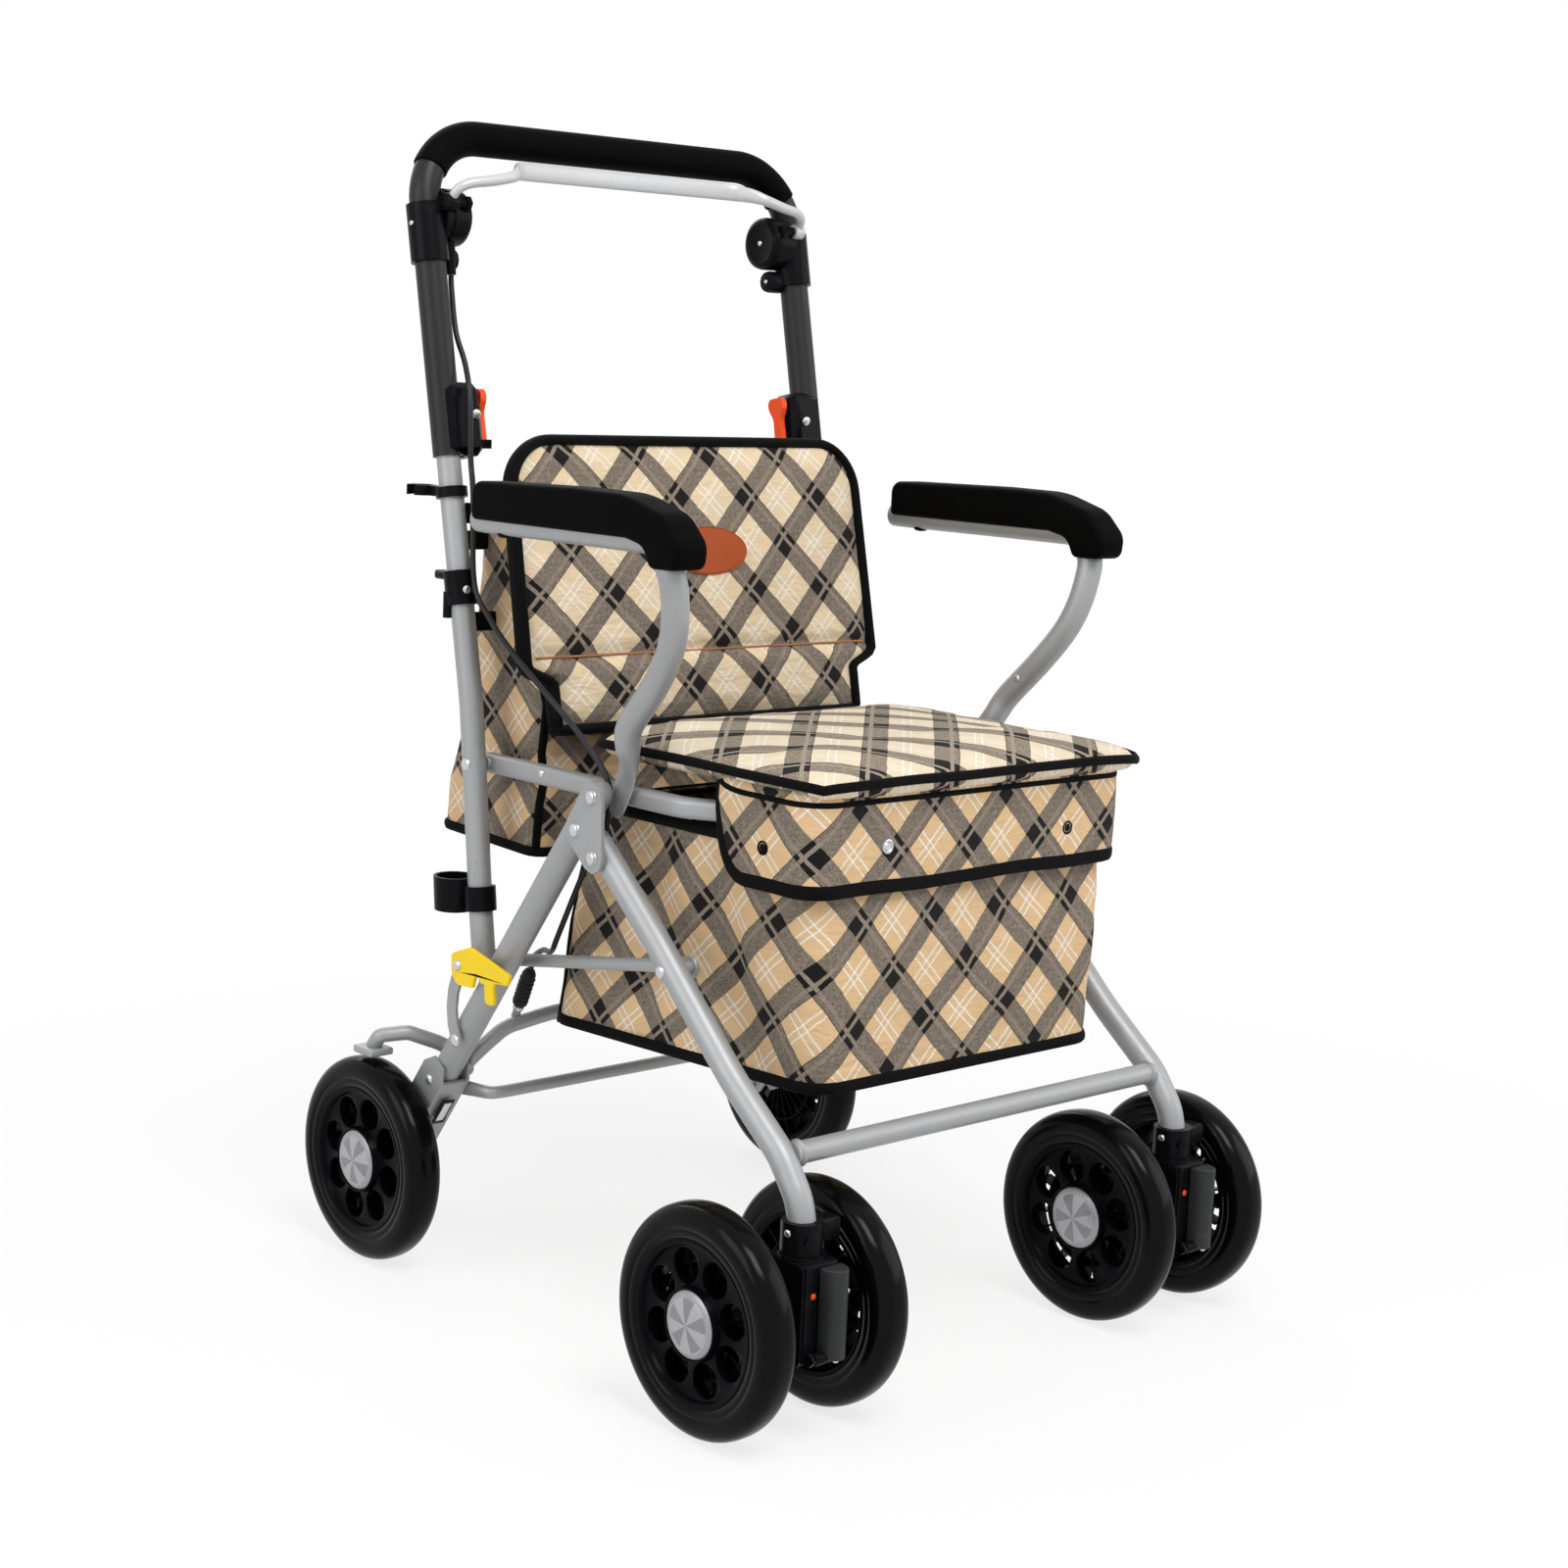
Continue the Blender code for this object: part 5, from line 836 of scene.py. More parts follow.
def rim_shape():
    """Moulded rim: raised hub, flat web with eight round openings, and a barrel."""
    profile = [
        (0.0046, 0.0118), (0.0244, 0.0118), (0.0246, 0.0156), (0.0256, 0.0152),
        (0.0268, 0.0098), (0.0285, 0.0090), (0.0505, 0.0088), (0.0532, 0.0096),
        (0.0545, 0.0122), (0.0560, 0.0129), (0.0587, 0.0130), (0.0587, -0.0130),
        (0.0560, -0.0129), (0.0548, -0.0110), (0.0532, 0.0010), (0.0500, 0.0000),
        (0.0150, 0.0000), (0.0130, -0.0015), (0.0123, -0.0145), (0.0046, -0.0145),
    ]
    body = linked("rim", mesh_of("rim", cleaned(spun(profile, 96, closed=True))))
    cutter = linked("openings", mesh_of("openings", rim_openings()))
    with_modifier(body, "BOOLEAN", operation="DIFFERENCE", object=cutter, solver="EXACT")
    with_soft_edges(body, 0.0007, 2, 50)
    return add(evaluated(body, cutter), rim_ribs())


def disc_shape():
    """The hub's round cap, with its plan as its map."""
    profile = [
        (0, 0.0181), (0.0100, 0.0178), (0.0170, 0.0169), (0.0192, 0.0160),
        (0.0200, 0.0163), (0.0222, 0.0157), (0.0240, 0.0143), (0.0243, 0.0117),
    ]
    disc = spun(profile, 72)
    layer = disc.loops.layers.uv.new("disc")
    for face in disc.faces:
        for loop in face.loops:
            loop[layer].uv = loop.vert.co.xy
    return disc


def make_wheels():
    """Six wheels: tyre, rim, silver hub disc and the nut behind."""
    tyre = mesh_of("tyre", tyre_shape())
    rim = mesh_of("rim", rim_shape())
    for label, side in SIDES:
        wheels = (
            ("rear", label, REAR_WHEEL_X, REAR_AXLE, side, 0.35),
            ("front", f"{label}_outer", OUTER_WHEEL_X, FRONT_AXLE, side, 0.9),
            ("front", f"{label}_inner", INNER_WHEEL_X, FRONT_AXLE, -side, 0.1),
        )
        for end, which, x, axle, outward, turn in wheels:
            tyre_node = f"{end}_tyre_{which}"
            rim_node = f"{end}_rim_{which}"
            place = Matrix.Translation((side * x, *axle))
            place = place @ Matrix.Rotation(outward * math.pi / 2, 4, "Y")
            place = place @ Matrix.Rotation(turn, 4, "Z")
            piece(tyre_node + "_rubber", moved(shape_of(tyre), place), TYRE, tyre_node, True)
            piece(rim_node + "_web", moved(shape_of(rim), place), RIM, rim_node, True, 32)
            piece(rim_node + "_disc", moved(disc_shape(), place), DISC, rim_node, False, 25)
    for label, side in SIDES:
        end, reach = Vector((side * 0.1825, *REAR_AXLE)), Vector((-side * 0.0050, 0, 0))
        nut = rod(end, end + reach, 0.0068, 6, 0.0005)
        piece(f"rear_axle_nut_{label}", nut, STEEL, f"wheel_bracket_{label}")


make_wheels()


# Frame tubes


def make_legs():
    """Rear legs with a rounded top, the link's pin and the catch stud."""
    for label, side in SIDES:
        node = f"rear_leg_{label}"
        top, foot = (Vector((side * LEG_X, rear_leg_y(z), z)) for z in (0.4201, 0.1225))
        sections = []
        for step in range(9):
            angle = math.pi / 2 * (step + 0.4) / 8.4
            centre = top + LEG_DOWN * LEG_RADIUS * (1 - math.cos(angle))
            wide = 0.0100 * math.sin(angle) ** 0.6
            sections.append((*centre, wide, LEG_RADIUS * math.sin(angle)))
        for share, wide in ((0.10, 0.0104), (0.16, LEG_RADIUS), (1.0, LEG_RADIUS)):
            sections.append((*top.lerp(foot, share), wide, LEG_RADIUS))
        piece(f"rear_leg_tube_{label}", lofted(sections, ACROSS, 32), SILVER, node, True)
        near, far = 0.2070, 0.2122
        pins = cross_pin(side, near, far, LINK_PIVOT, 0.0036)
        add(pins, cross_pin(side, near, far, (rear_leg_y(STUD_Z), STUD_Z), 0.0032))
        piece(f"rear_leg_pins_{label}", pins, STEEL, node)
        heads(f"link_rivet_{label}", node, STEEL, [rivet(side, far, LINK_PIVOT, 0.0052, 0.0016)])


def front_leg_path(side):
    """From the pivot down and round into the caster's collar."""
    bends = [(-0.0906, 0.3162), (-0.1775, 0.2345), (-0.2310, 0.1930), (-0.2505, 0.1665)]
    pivot = Vector(LEG_PIVOT)
    top = pivot + (pivot - Vector(bends[0])).normalized() * 0.0150
    corners = [(side * LEG_X, *corner) for corner in (top, *bends, (-0.2545, 0.1500))]
    return rounded(corners, [0, 0.16, 0.30, 0.06, 0.05, 0], 10)


def make_front_frame():
    """Both front legs and the bar between them, with a bead at each joint."""
    radius = 0.0100
    bead = [(0.0078, 0.0), (0.0098, 0.0012), (0.0098, 0.0026), (0.0079, 0.0040)]
    shape = pipe([(-0.1900, *FRONT_BAR), (0.1900, *FRONT_BAR)], 0.0080, 28)
    for _, side in SIDES:
        path = front_leg_path(side)
        add(shape, pipe(path, radius, 32), end_cap(path[0], path[1], radius, 0.0060))
        add(shape, cross_pin(side, 0.1790, 0.1900, BRACE_PIVOT, 0.0054))
        add(shape, turned(bead, 36, (side * (LEG_X - radius), *FRONT_BAR), (-side, 0, 0)))
    piece("front_frame_tubes", shape, SILVER, "front_frame", True)
    places = [rivet(side, 0.2068, BRACE_PIVOT, 0.0046, 0.0016) for _, side in SIDES]
    heads("brace_rivets", "front_frame", STEEL, places)


def make_seat_frame():
    """The seat's U-shaped rail of rounded box tube."""
    z = 0.4100
    half = [(-RAIL_X, 0.1503, z), (-RAIL_X, -0.0850, z), (-0.1555, -0.1120, z), (-0.1555, -0.2, z)]
    path = rounded(half + mirrored(half), [0, 0.03, 0.03, 0.025, 0.025, 0.03, 0.03, 0], 8)
    box = [(-0.0070, -0.0075), (0.0070, -0.0075), (0.0070, 0.0075), (-0.0070, 0.0075)]
    section = linked("section", curve_of(rounded(box, 0.0045, 5, closed=True), closed=True))
    curve = curve_of(path, bevel_mode="OBJECT", bevel_object=section, use_fill_caps=True)
    rail = evaluated(linked("rail", curve), section)
    places = []
    for _, side in SIDES:
        add(rail, cross_pin(side, RAIL_X, 0.1814, UPRIGHT_PIVOT, 0.0055))
        places.append(rivet(side, 0.1992, UPRIGHT_PIVOT, 0.0052, 0.0018))
        places.append(rivet(side, 0.1648, SEAT_PIVOT, 0.0052, 0.0018, -1))
        places.append(rivet(side, 0.1790, (0.0735, 0.4120), 0.0032, 0.0014))
    piece("seat_rail", rail, SILVER, "seat_frame", True)
    heads("seat_rail_rivets", "seat_frame", STEEL, places)


def make_uprights():
    """Both uprights, bent at the knee, with the elbow's pin."""
    radius = 0.0093
    knee = Vector((0.1286, 0.2950))
    foot = Vector(ELBOW) + (Vector(ELBOW) - knee).normalized() * 0.0090
    for label, side in SIDES:
        bends = (foot, knee, (0.1482, 0.4580), (lean_y(0.80), 0.80))
        corners = [(side * UPRIGHT_X, *bend) for bend in bends]
        shape = pipe(rounded(corners, [0, 0.3, 0.3, 0], 10), radius, 32)
        add(shape, cross_pin(side, 0.1803, 0.2077, ELBOW, 0.0065))
        add(shape, end_cap(corners[0], corners[1], radius, 0.0040))
        piece(f"upright_tube_{label}", shape, SILVER, f"upright_{label}", True)


def armrest_sections(side):
    """The armrest's bar: flat at its pivot, then round, up, forward and back under the pad."""
    tongue = 0.1837
    path = [
        (tongue, -0.0219, 0.3955, 0.0020, 0.0050),
        (tongue, -0.0240, 0.4005, 0.0020, 0.0085),
        (tongue, *SEAT_PIVOT, 0.0020, 0.0100),
        (tongue, -0.0337, 0.4240, 0.0020, 0.0105),
        (tongue + 0.0028, -0.0395, 0.4365, 0.0050, 0.0105),
        (tongue + 0.0093, -0.0460, 0.4500, 0.0090, 0.0100),
        (tongue + 0.0148, -0.0545, 0.4670, 0.0100, 0.0100),
        (tongue + 0.0180, -0.0830, 0.4970, 0.0100, 0.0100),
        (tongue + 0.0225, -0.1040, 0.5240, 0.0100, 0.0100),
        (tongue + 0.0270, -0.1140, 0.5470, 0.0100, 0.0100),
        (ARMREST_X - 0.0030, -0.1175, 0.5700, 0.0100, 0.0100),
        (ARMREST_X, -0.1160, 0.5830, 0.0100, 0.0100),
        (ARMREST_X, -0.1100, 0.5940, 0.0100, 0.0100),
        (ARMREST_X, -0.1000, 0.6010, 0.0100, 0.0100),
        (ARMREST_X, -0.0880, 0.6030, 0.0100, 0.0100),
        (ARMREST_X, 0.0920, 0.6030, 0.0100, 0.0100),
        (ARMREST_X, 0.0945, 0.6030, 0.0085, 0.0085),
    ]
    return smooth([(side * x, *others) for x, *others in path], 4)


def armrest_pad(side):
    """The soft pad: its side outline drawn across the bar, with rounded rims."""
    corners = [
        (0.0990, 0.6035), (0.0990, 0.6320), (-0.0187, 0.6345), (-0.0787, 0.6340),
        (-0.1210, 0.6220), (-0.1400, 0.6030), (-0.1377, 0.5850), (-0.1080, 0.5845),
        (-0.1010, 0.5990), (-0.0800, 0.6035),
    ]
    radii = [0.004, 0.010, 0.2, 0.10, 0.03, 0.014, 0.008, 0.006, 0.016, 0.02]
    half = 0.0145
    outline = rounded(corners, radii, 8, closed=True)
    ring = [(side * ARMREST_X - half, point.x, point.y) for point in outline]
    shape = slab(ring, (2 * half, 0, 0))
    rims = [edge for edge in shape.edges if abs(edge.verts[0].co.x - edge.verts[1].co.x) < 1e-6]
    return bevelled(shape, rims, 0.0052, 5, clamp=True)


def make_armrests():
    for label, side in SIDES:
        node = f"armrest_tube_{label}"
        tube = lofted(armrest_sections(side), ACROSS, 28)
        add(tube, cross_pin(side, 0.1792, 0.1840, SEAT_PIVOT, 0.0055))
        piece(f"armrest_bar_{label}", tube, SILVER, node, True, 50)
        pad = armrest_pad(side)
        pad = piece(f"armrest_foam_{label}", pad, FOAM, f"armrest_pad_{label}", True, 60)
        x = side * ARMREST_X
        plug = rod((x, 0.0925, 0.6030), (x, 0.0965, 0.6030), 0.0094)
        piece(f"armrest_plug_{label}", plug, BLACK, node)
        stud = [((x, 0.0740, 0.5935), (0, 0, -1), 0.0060, 0.0024)]
        heads(f"armrest_stud_{label}", node, BLACK, stud)
        screw = [rivet(side, 0.1915, (-0.0700, 0.4835), 0.0036, 0.0016, -1)]
        heads(f"armrest_screw_{label}", node, STEEL, screw)


def make_braces():
    """Each fold brace: a round bar between two flattened ends of the same form."""
    rear, front = Vector(ELBOW), Vector(BRACE_PIVOT)
    way = (front - rear).normalized()
    half = [
        (-0.0079, 0.1780, 0.0020, 0.0030),
        (-0.0062, 0.1780, 0.0020, 0.0060),
        (-0.0040, 0.1780, 0.0020, 0.0078),
        (0.0000, 0.1780, 0.0020, 0.0085),
        (0.0100, 0.1780, 0.0020, 0.0074),
        (0.0160, 0.1765, 0.0036, 0.0060),
        (0.0220, 0.1750, 0.0050, 0.0050),
    ]
    plan = [(rear + way * run, *sizes) for run, *sizes in half]
    plan += [(front - way * run, *sizes) for run, *sizes in reversed(half)]
    for label, side in SIDES:
        sections = [(side * x, at.x, at.y, wide, deep) for at, x, wide, deep in plan]
        bar = lofted(sections, ACROSS, 28)
        piece(f"fold_brace_bar_{label}", bar, SILVER, f"fold_brace_{label}", True, 50)


def make_rear_bar():
    """The cross bar between the rear legs, with a flat tab riveted on at each end."""
    tab = 0.0013
    x = BRACKET_FACE_X - tab
    z = 0.1470
    back = rear_leg_y(z)
    right = [
        (-x, back + 0.0060, z, 0.0040, tab),
        (-x, back, z, 0.0062, tab),
        (-x, back - 0.0120, z, 0.0062, tab),
        (-x + 0.0030, back - 0.0220, z, 0.0058, 0.0025),
        (-x + 0.0080, 0.1353, z, 0.0052, 0.0045),
        (-x + 0.0150, 0.1323, z, 0.0050, 0.0050),
        (-x + 0.0220, 0.1313, z, 0.0050, 0.0050),
    ]
    sections = smooth(right, 3) + smooth(mirrored(right), 3)
    piece("rear_cross_tube", lofted(sections, UP, 24), SILVER, "rear_cross_bar", True, 50)
    place = (back - 0.0060, z)
    places = [rivet(side, x - tab, place, 0.0036, 0.0014, -1) for _, side in SIDES]
    heads("rear_cross_rivets", "rear_cross_bar", STEEL, places)


def make_brake_bar():
    """The parking brake: an arch between the legs, an arm and a shoe over each wheel."""
    radius = 0.0060
    near = BRACKET_FACE_X - radius
    half = [(near, *BAR_PIVOT), (near, 0.1480, 0.1780)]
    half += [(0.1560, 0.1400, 0.1970), (0.1150, 0.1343, 0.2045)]
    arch = rounded(half + mirrored(half), [0, 0.030, 0.030, 0.10, 0.10, 0.030, 0.030, 0], 8)
    shape = pipe(arch, radius)
    pads = bmesh.new()
    arm = [(near, *BAR_PIVOT), (near, 0.1860, 0.1740), (0.2080, 0.1990, 0.1870)]
    arm += [(REAR_WHEEL_X, 0.2100, 0.1850), (REAR_WHEEL_X, 0.2187, 0.1745)]
    for _, side in SIDES:
        path = [(side * x, y, z) for x, y, z in arm]
        add(shape, pipe(rounded(path, [0, 0.02, 0.015, 0.006, 0], 6), radius))
        add(shape, cross_pin(side, near - 0.0060, near + 0.0060, BAR_PIVOT, 0.0070))
        x = side * REAR_WHEEL_X
        add(pads, block((x - 0.0110, 0.2057, 0.1685), (x + 0.0110, 0.2317, 0.1745), 0.0018))
    add(shape, rod(BOOT_FOOT - BOOT_WAY * 0.0130, BOOT_FOOT - BOOT_WAY * 0.0003, 0.0034))
    piece("parking_bar_tube", shape, SILVER, "brake_bar", True)
    piece("parking_bar_shoes", pads, SILVER, "brake_bar")
    nut = rod(BOOT_FOOT - BOOT_WAY * 0.0045, BOOT_FOOT - BOOT_WAY * 0.0015, 0.0046, 20)
    piece("cable_end_nut", nut, STEEL, "brake_bar")


def make_boot():
    """The ribbed rubber boot at the cable's lower end."""
    length = (BOOT_TOP - BOOT_FOOT).length
    profile = [(0, 0), (0.0052, 0), (0.0060, 0.0010)]
    for index in range(6):
        low = length * (0.10 + 0.125 * index)
        profile += [(0.0064, low + 0.0006), (0.0064, low + 0.0016), (0.0053, low + 0.0028)]
    profile += [(0.0058, length * 0.88), (0.0050, length * 0.94), (0.0040, length), (0, length)]
    boot = turned(profile, 32, BOOT_FOOT, BOOT_TOP - BOOT_FOOT)
    piece("brake_boot_bellows", boot, BOOT, "brake_boot", True, 60)


make_legs()
make_front_frame()
make_seat_frame()
make_uprights()
make_armrests()
make_braces()
make_rear_bar()
make_brake_bar()
make_boot()


# Plates, latches and casters keep their CAD form with rounded edges


def make_lock(label, x):
    """The half-round swivel lock beside its orange mark, with its pins, and the socket's screw."""
    lever = f"lock_lever_{label}"
    housing = f"caster_housing_{label}"
    front = -0.2753
    ring = []
    for step in range(17):
        angle = math.pi * step / 16
        across = x + 0.0078 + 0.0102 * math.cos(angle)
        ring.append((across, front - 0.0010 - 0.0150 * math.sin(angle), 0.0625))
    grip = piece(f"lock_grip_{label}", slab(ring, (0, 0, 0.0635)), CHARCOAL, lever, True)
    with_soft_edges(grip, 0.0009, 3, 30)
    foot = rod((x - 0.0100, -0.2815, 0.0640), (x + 0.0100, -0.2815, 0.0640), 0.0044)
    piece(f"lock_foot_{label}", foot, BLACK, lever)
    places = [
        ((x + 0.0178, -0.2830, 0.1080), (1, 0, 0), 0.0022, 0.0018),
        ((x + 0.0060, -0.2872, 0.0626), (0, 0, -1), 0.0024, 0.0022),
    ]
    heads(f"lock_pins_{label}", lever, STEEL, places)
    dot = [((x - 0.0062, front, 0.1062), (0, -1, 0), 0.0023, 0.0008)]
    heads(f"lock_mark_{label}", housing, ORANGE, dot)
    rib = block((x - 0.0145, front - 0.0010, 0.0600), (x - 0.0125, front + 0.0010, 0.1280), 0.0004)
    piece(f"housing_rib_{label}", rib, BLACK, housing)
    screw = [((x - 0.0144, -0.2560, 0.1470), (-1, -0.15, 0), 0.0028, 0.0014)]
    heads(f"socket_screw_{label}", f"caster_collar_{label}", STEEL, screw)


def make_bracket_fittings(label, side):
    """The wheel bracket's rivet, a black sheet in its slot as painted shade, and the steel tab in
    it.
    """
    node = f"wheel_bracket_{label}"
    on_leg = (rear_leg_y(BRACKET_Z), BRACKET_Z)
    spot = Vector((side * 0.2108, *on_leg)) + LEG_DOWN * 0.0080
    heads(f"bracket_rivet_{label}", node, STEEL, [(spot, (side, 0, 0), 0.0042, 0.0018)])
    ahead = Vector((0, LEG_DOWN.z, -LEG_DOWN.y))
    middle = Vector((side * LEG_X, *on_leg)) + LEG_DOWN * 0.0300
    place = with_axes(middle + ahead * WEB_FACE, ACROSS, LEG_DOWN, ahead)
    # A thin black sheet in the open slot stands for the shade inside it: painted shade.
    ring = block((-0.0058, -0.0130, -0.0004), (0.0058, 0.0130, 0.0008), 0.0003, 1)
    piece(f"bracket_slot_shade_{label}", moved(ring, place), BLACK, node)
    tab = block((-0.0036, -0.0104, 0.0000), (0.0036, 0.0104, 0.0014), 0.0005, 2)
    piece(f"bracket_tab_{label}", moved(tab, place), STEEL, node)


def make_fittings():
    """The plates and mouldings of both sides, where the left collar is the right one shifted."""
    forms = (
        ("apex_gusset", SILVER, 0.0006, 2),
        ("wheel_bracket", SILVER, 0.0005, 2),
        ("fold_link", SILVER, 0.0005, 2),
        ("latch", YELLOW, 0.0012, 3),
        ("caster_collar", BLACK, 0.0010, 2),
        ("caster_housing", BLACK, 0.0012, 2),
        ("clamp_lever", ORANGE, 0.0014, 3),
        ("handle_collar", BLACK, 0.0012, 2),
        ("brake_housing", BLACK, 0.0012, 2),
    )
    for label, side in SIDES:
        twins = {"caster_collar": ("caster_collar_right", LEG_X * (side + 1))}
        for form, look, width, segments in forms:
            softened(f"{form}_{label}", look, width, segments, *twins.get(form, ()))
        pivots = (SEAT_PIVOT, GUSSET_RIVET, LEG_PIVOT)
        places = [rivet(side, 0.2113, pivot, 0.0058, 0.0026) for pivot in pivots]
        heads(f"gusset_rivets_{label}", f"apex_gusset_{label}", STEEL, places)
        places = [rivet(side, 0.2165, ELBOW, 0.0044, 0.0022)]
        heads(f"latch_rivet_{label}", f"fold_link_{label}", STEEL, places)
        make_bracket_fittings(label, side)
        make_lock(label, side * LEG_X)
    for node in ("cane_clip_upper", "cane_clip_lower", "cup_holder"):
        softened(node, BLACK, 0.0010)
    spot = (-UPRIGHT_X - 0.0030, lean_y(0.545) - 0.0124, 0.5450)
    heads("clip_screw", "cane_clip_lower", STEEL, [(spot, (0, -1, 0), 0.0034, 0.0014)])


make_fittings()


# Handle and brakes


def handle_path(steps):
    """The handle's U from one lower end to the other."""
    half = [(-HANDLE_X, lean_y(z), z) for z in (SLEEVE_BOTTOM_Z, HANDLE_Z)]
    return rounded(half + mirrored(half), 0.0550, steps)


def make_handle():
    bar = pipe(handle_path(14), 0.0120, 32)
    piece("handle_bar", bar, BLACK_PAINT, "handle_tube", True)
    radius = 0.0135
    above = [point for point in handle_path(40) if point.z > 0.8625]
    grip = pipe(above, radius, 32)
    add(grip, end_cap(above[0], above[1], radius, 0.0016))
    add(grip, end_cap(above[-1], above[-2], radius, 0.0016))
    grip = piece("foam_sleeve", grip, FOAM, "foam_grip", True, 60)


def make_squeeze_bar():
    """The white bail from one pivot to the other, flat where the fingers pull it."""
    y, z = BAIL_PIVOT
    arm = [
        (0.1815, y, z, 0.0035, 0.0035),
        (0.1795, y - 0.0065, z + 0.0095, 0.0038, 0.0038),
        (0.1700, y - 0.0110, z + 0.0150, 0.0040, 0.0040),
        (0.1520, y - 0.0140, z + 0.0180, 0.0042, 0.0042),
        (0.1326, y - 0.0145, z + 0.0225, 0.0045, 0.0040),
        (0.1230, y - 0.0060, z + 0.0260, 0.0058, 0.0030),
        (0.1140, y + 0.0060, z + 0.0282, 0.0068, 0.0026),
        (0.1040, y + 0.0105, z + 0.0290, 0.0072, 0.0025),
    ]
    blade = lofted(smooth(arm, 4) + smooth(mirrored(arm), 4), UP, 24)
    add(blade, rod((0.1768, y, z), (0.1862, y, z), 0.0060))
    boss = rod((-0.1872, y, z), (-0.1764, y, z), 0.0068)
    piece("squeeze_bar_boss", boss, BLACK, "brake_bail")
    piece("squeeze_bar", blade, WHITE, "brake_bail", True, 50)


def make_brake_covers():
    """On each side the brake's round cover, the knob under it and the screws."""
    disc = [(0, 0.0016), (0.0150, 0.0012), (0.0164, 0.0020), (0.0190, 0.0014)]
    disc += [(0.0215, -0.0006), (0.0222, -0.0040), (0.0222, -0.0160)]
    knob = [(0, 0.0012), (0.0062, 0.0010), (0.0084, 0.0), (0.0092, -0.0030), (0.0092, -0.0140)]
    for label, side in SIDES:
        node = f"brake_housing_{label}"
        inward = (-side, 0, 0)
        cover = turned(disc, 64, (side * 0.1600, *BRAKE_DRUM), inward)
        piece(f"brake_cover_{label}", cover, BLACK, node)
        button = turned(knob, 40, (side * 0.1652, *BRAKE_KNOB), inward)
        piece(f"brake_knob_{label}", button, BLACK, node)
        place = (lean_y(0.8210), 0.8210)
        screw = [rivet(side, HANDLE_X + 0.0115, place, 0.0042, 0.0036)]
        heads(f"handle_screw_{label}", node, STEEL, screw)
        pins = [
            rivet(side, 0.1586, BRAKE_DRUM, 0.0024, 0.0016, -1),
            rivet(side, 0.1642, BRAKE_KNOB, 0.0018, 0.0012, -1),
        ]
        heads(f"brake_pins_{label}", node, STEEL, pins)
        boss = (side * 0.1740, lean_y(0.6780) - 0.0186, 0.6780)
        screw = [(boss, (0, -1, -0.2), 0.0040, 0.0014)]
        heads(f"clamp_screw_{label}", f"handle_collar_{label}", STEEL, screw)


make_handle()
make_squeeze_bar()
make_brake_covers()


# Brake cable: its route from part.py, in three stretches


def cable_route():
    """The cable's knots from the brake's barrel past clip and gusset down to the boot."""
    mouth = Vector((-0.1720, 0.2150, 0.7835))
    barrel = (mouth - Vector((-0.1720, 0.2180, 0.8120))).normalized()
    start = mouth + barrel * 0.0003
    foot = BOOT_TOP + BOOT_WAY * 0.0006
    return [
        start,
        start + barrel * 0.0100,
        (-0.1740, 0.2040, 0.7400),
        (-0.1760, 0.1880, 0.7160),
        (-0.1830, 0.1710, 0.6900),
        (-0.1860, 0.1640, 0.6460),
        (-0.1870, 0.1580, 0.6160),
        (-0.1900, 0.1500, 0.5510),
        (-0.1905, 0.1280, 0.5250),
        (-0.1925, 0.0960, 0.5030),
        (-0.1915, 0.0600, 0.4800),
        (-0.1850, 0.0180, 0.4480),
        (-0.1820, -0.0100, 0.4200),
        (-0.1818, -0.0130, 0.4000),
        (-0.1816, -0.0060, 0.3720),
        (-0.1810, 0.0130, 0.3500),
        (-0.1770, 0.0480, 0.2930),
        (-0.1650, 0.0720, 0.2730),
        (-0.1540, 0.0960, 0.2680),
        foot + BOOT_WAY * 0.0140,
        foot + BOOT_WAY * 0.0070,
        foot,
    ]


def make_cable():
    """Three stretches, which meet at the clip and at the gusset."""
    steps = 6
    whole = smooth(cable_route(), steps)
    clip, gusset = 6 * steps, 12 * steps
    stretches = (
        ("brake_cable_upper", whole[: clip + 1], ("handle", "uprights")),
        ("brake_cable_middle", whole[clip : gusset + 1], ("uprights", "seat_frame")),
        ("brake_cable_lower", whole[gusset:], None),
    )
    for name, path, joined in stretches:
        shape = pipe(path, 0.0022, 16)
        made = piece(name, shape, JACKET, "brake_cable", False, 60, rides=False)
        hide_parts("brake_cable")
        length = length_of(path)
        if joined:
            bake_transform(made)
        else:
            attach(made, "rear_frame")


make_cable()


# Soft goods


SEAM_Z = 0.4435


def bound(name, shape, node):
    """Black tape or piping as a finished piece."""
    return piece(name, shape, TAPE, node, False, 60)


def lid_place(u, v):
    """The lid in plan for u and v from -1 to 1: a box with swollen corners and pinched sides."""
    half, depth, middle = 0.1722, (0.0390 + 0.2265) / 2, (0.0390 - 0.2265) / 2
    reach = max(abs(u), abs(v))
    bulge = 1.0
    power = 8 if u < 0 else 16
    if reach > 0:
        bulge = (abs(u / reach) ** power + abs(v / reach) ** power) ** (-1 / power)
    pinch = 0.0022
    x = u * bulge * half - pinch * u * (1 - v * v)
    y = v * bulge * depth - pinch * v * (1 - u * u)
    return x, middle + y


def lid_heights(x, y, u, v):
    """The heights of the lid's top and underside."""
    reach = max(abs(u), abs(v))
    swell = (1 - reach**2.6) ** 0.55
    gather = ripple(x, y, 42, 3) * 0.0016 * reach**4 * (1 - reach**8)
    soft = ripple(x, y, 9, 8) * 0.0026 * swell
    channel = 0.0016 * math.exp(-(((y + 0.135) / 0.012) ** 2)) * swell
    top = SEAM_Z + 0.0190 * swell + gather * 2 + soft - channel - sag(u, v)
    under = SEAM_Z - 0.0150 * (1 - reach**10) ** 0.5 + gather * 0.4
    return top, max(under, 0.4275) - sag(u, v)


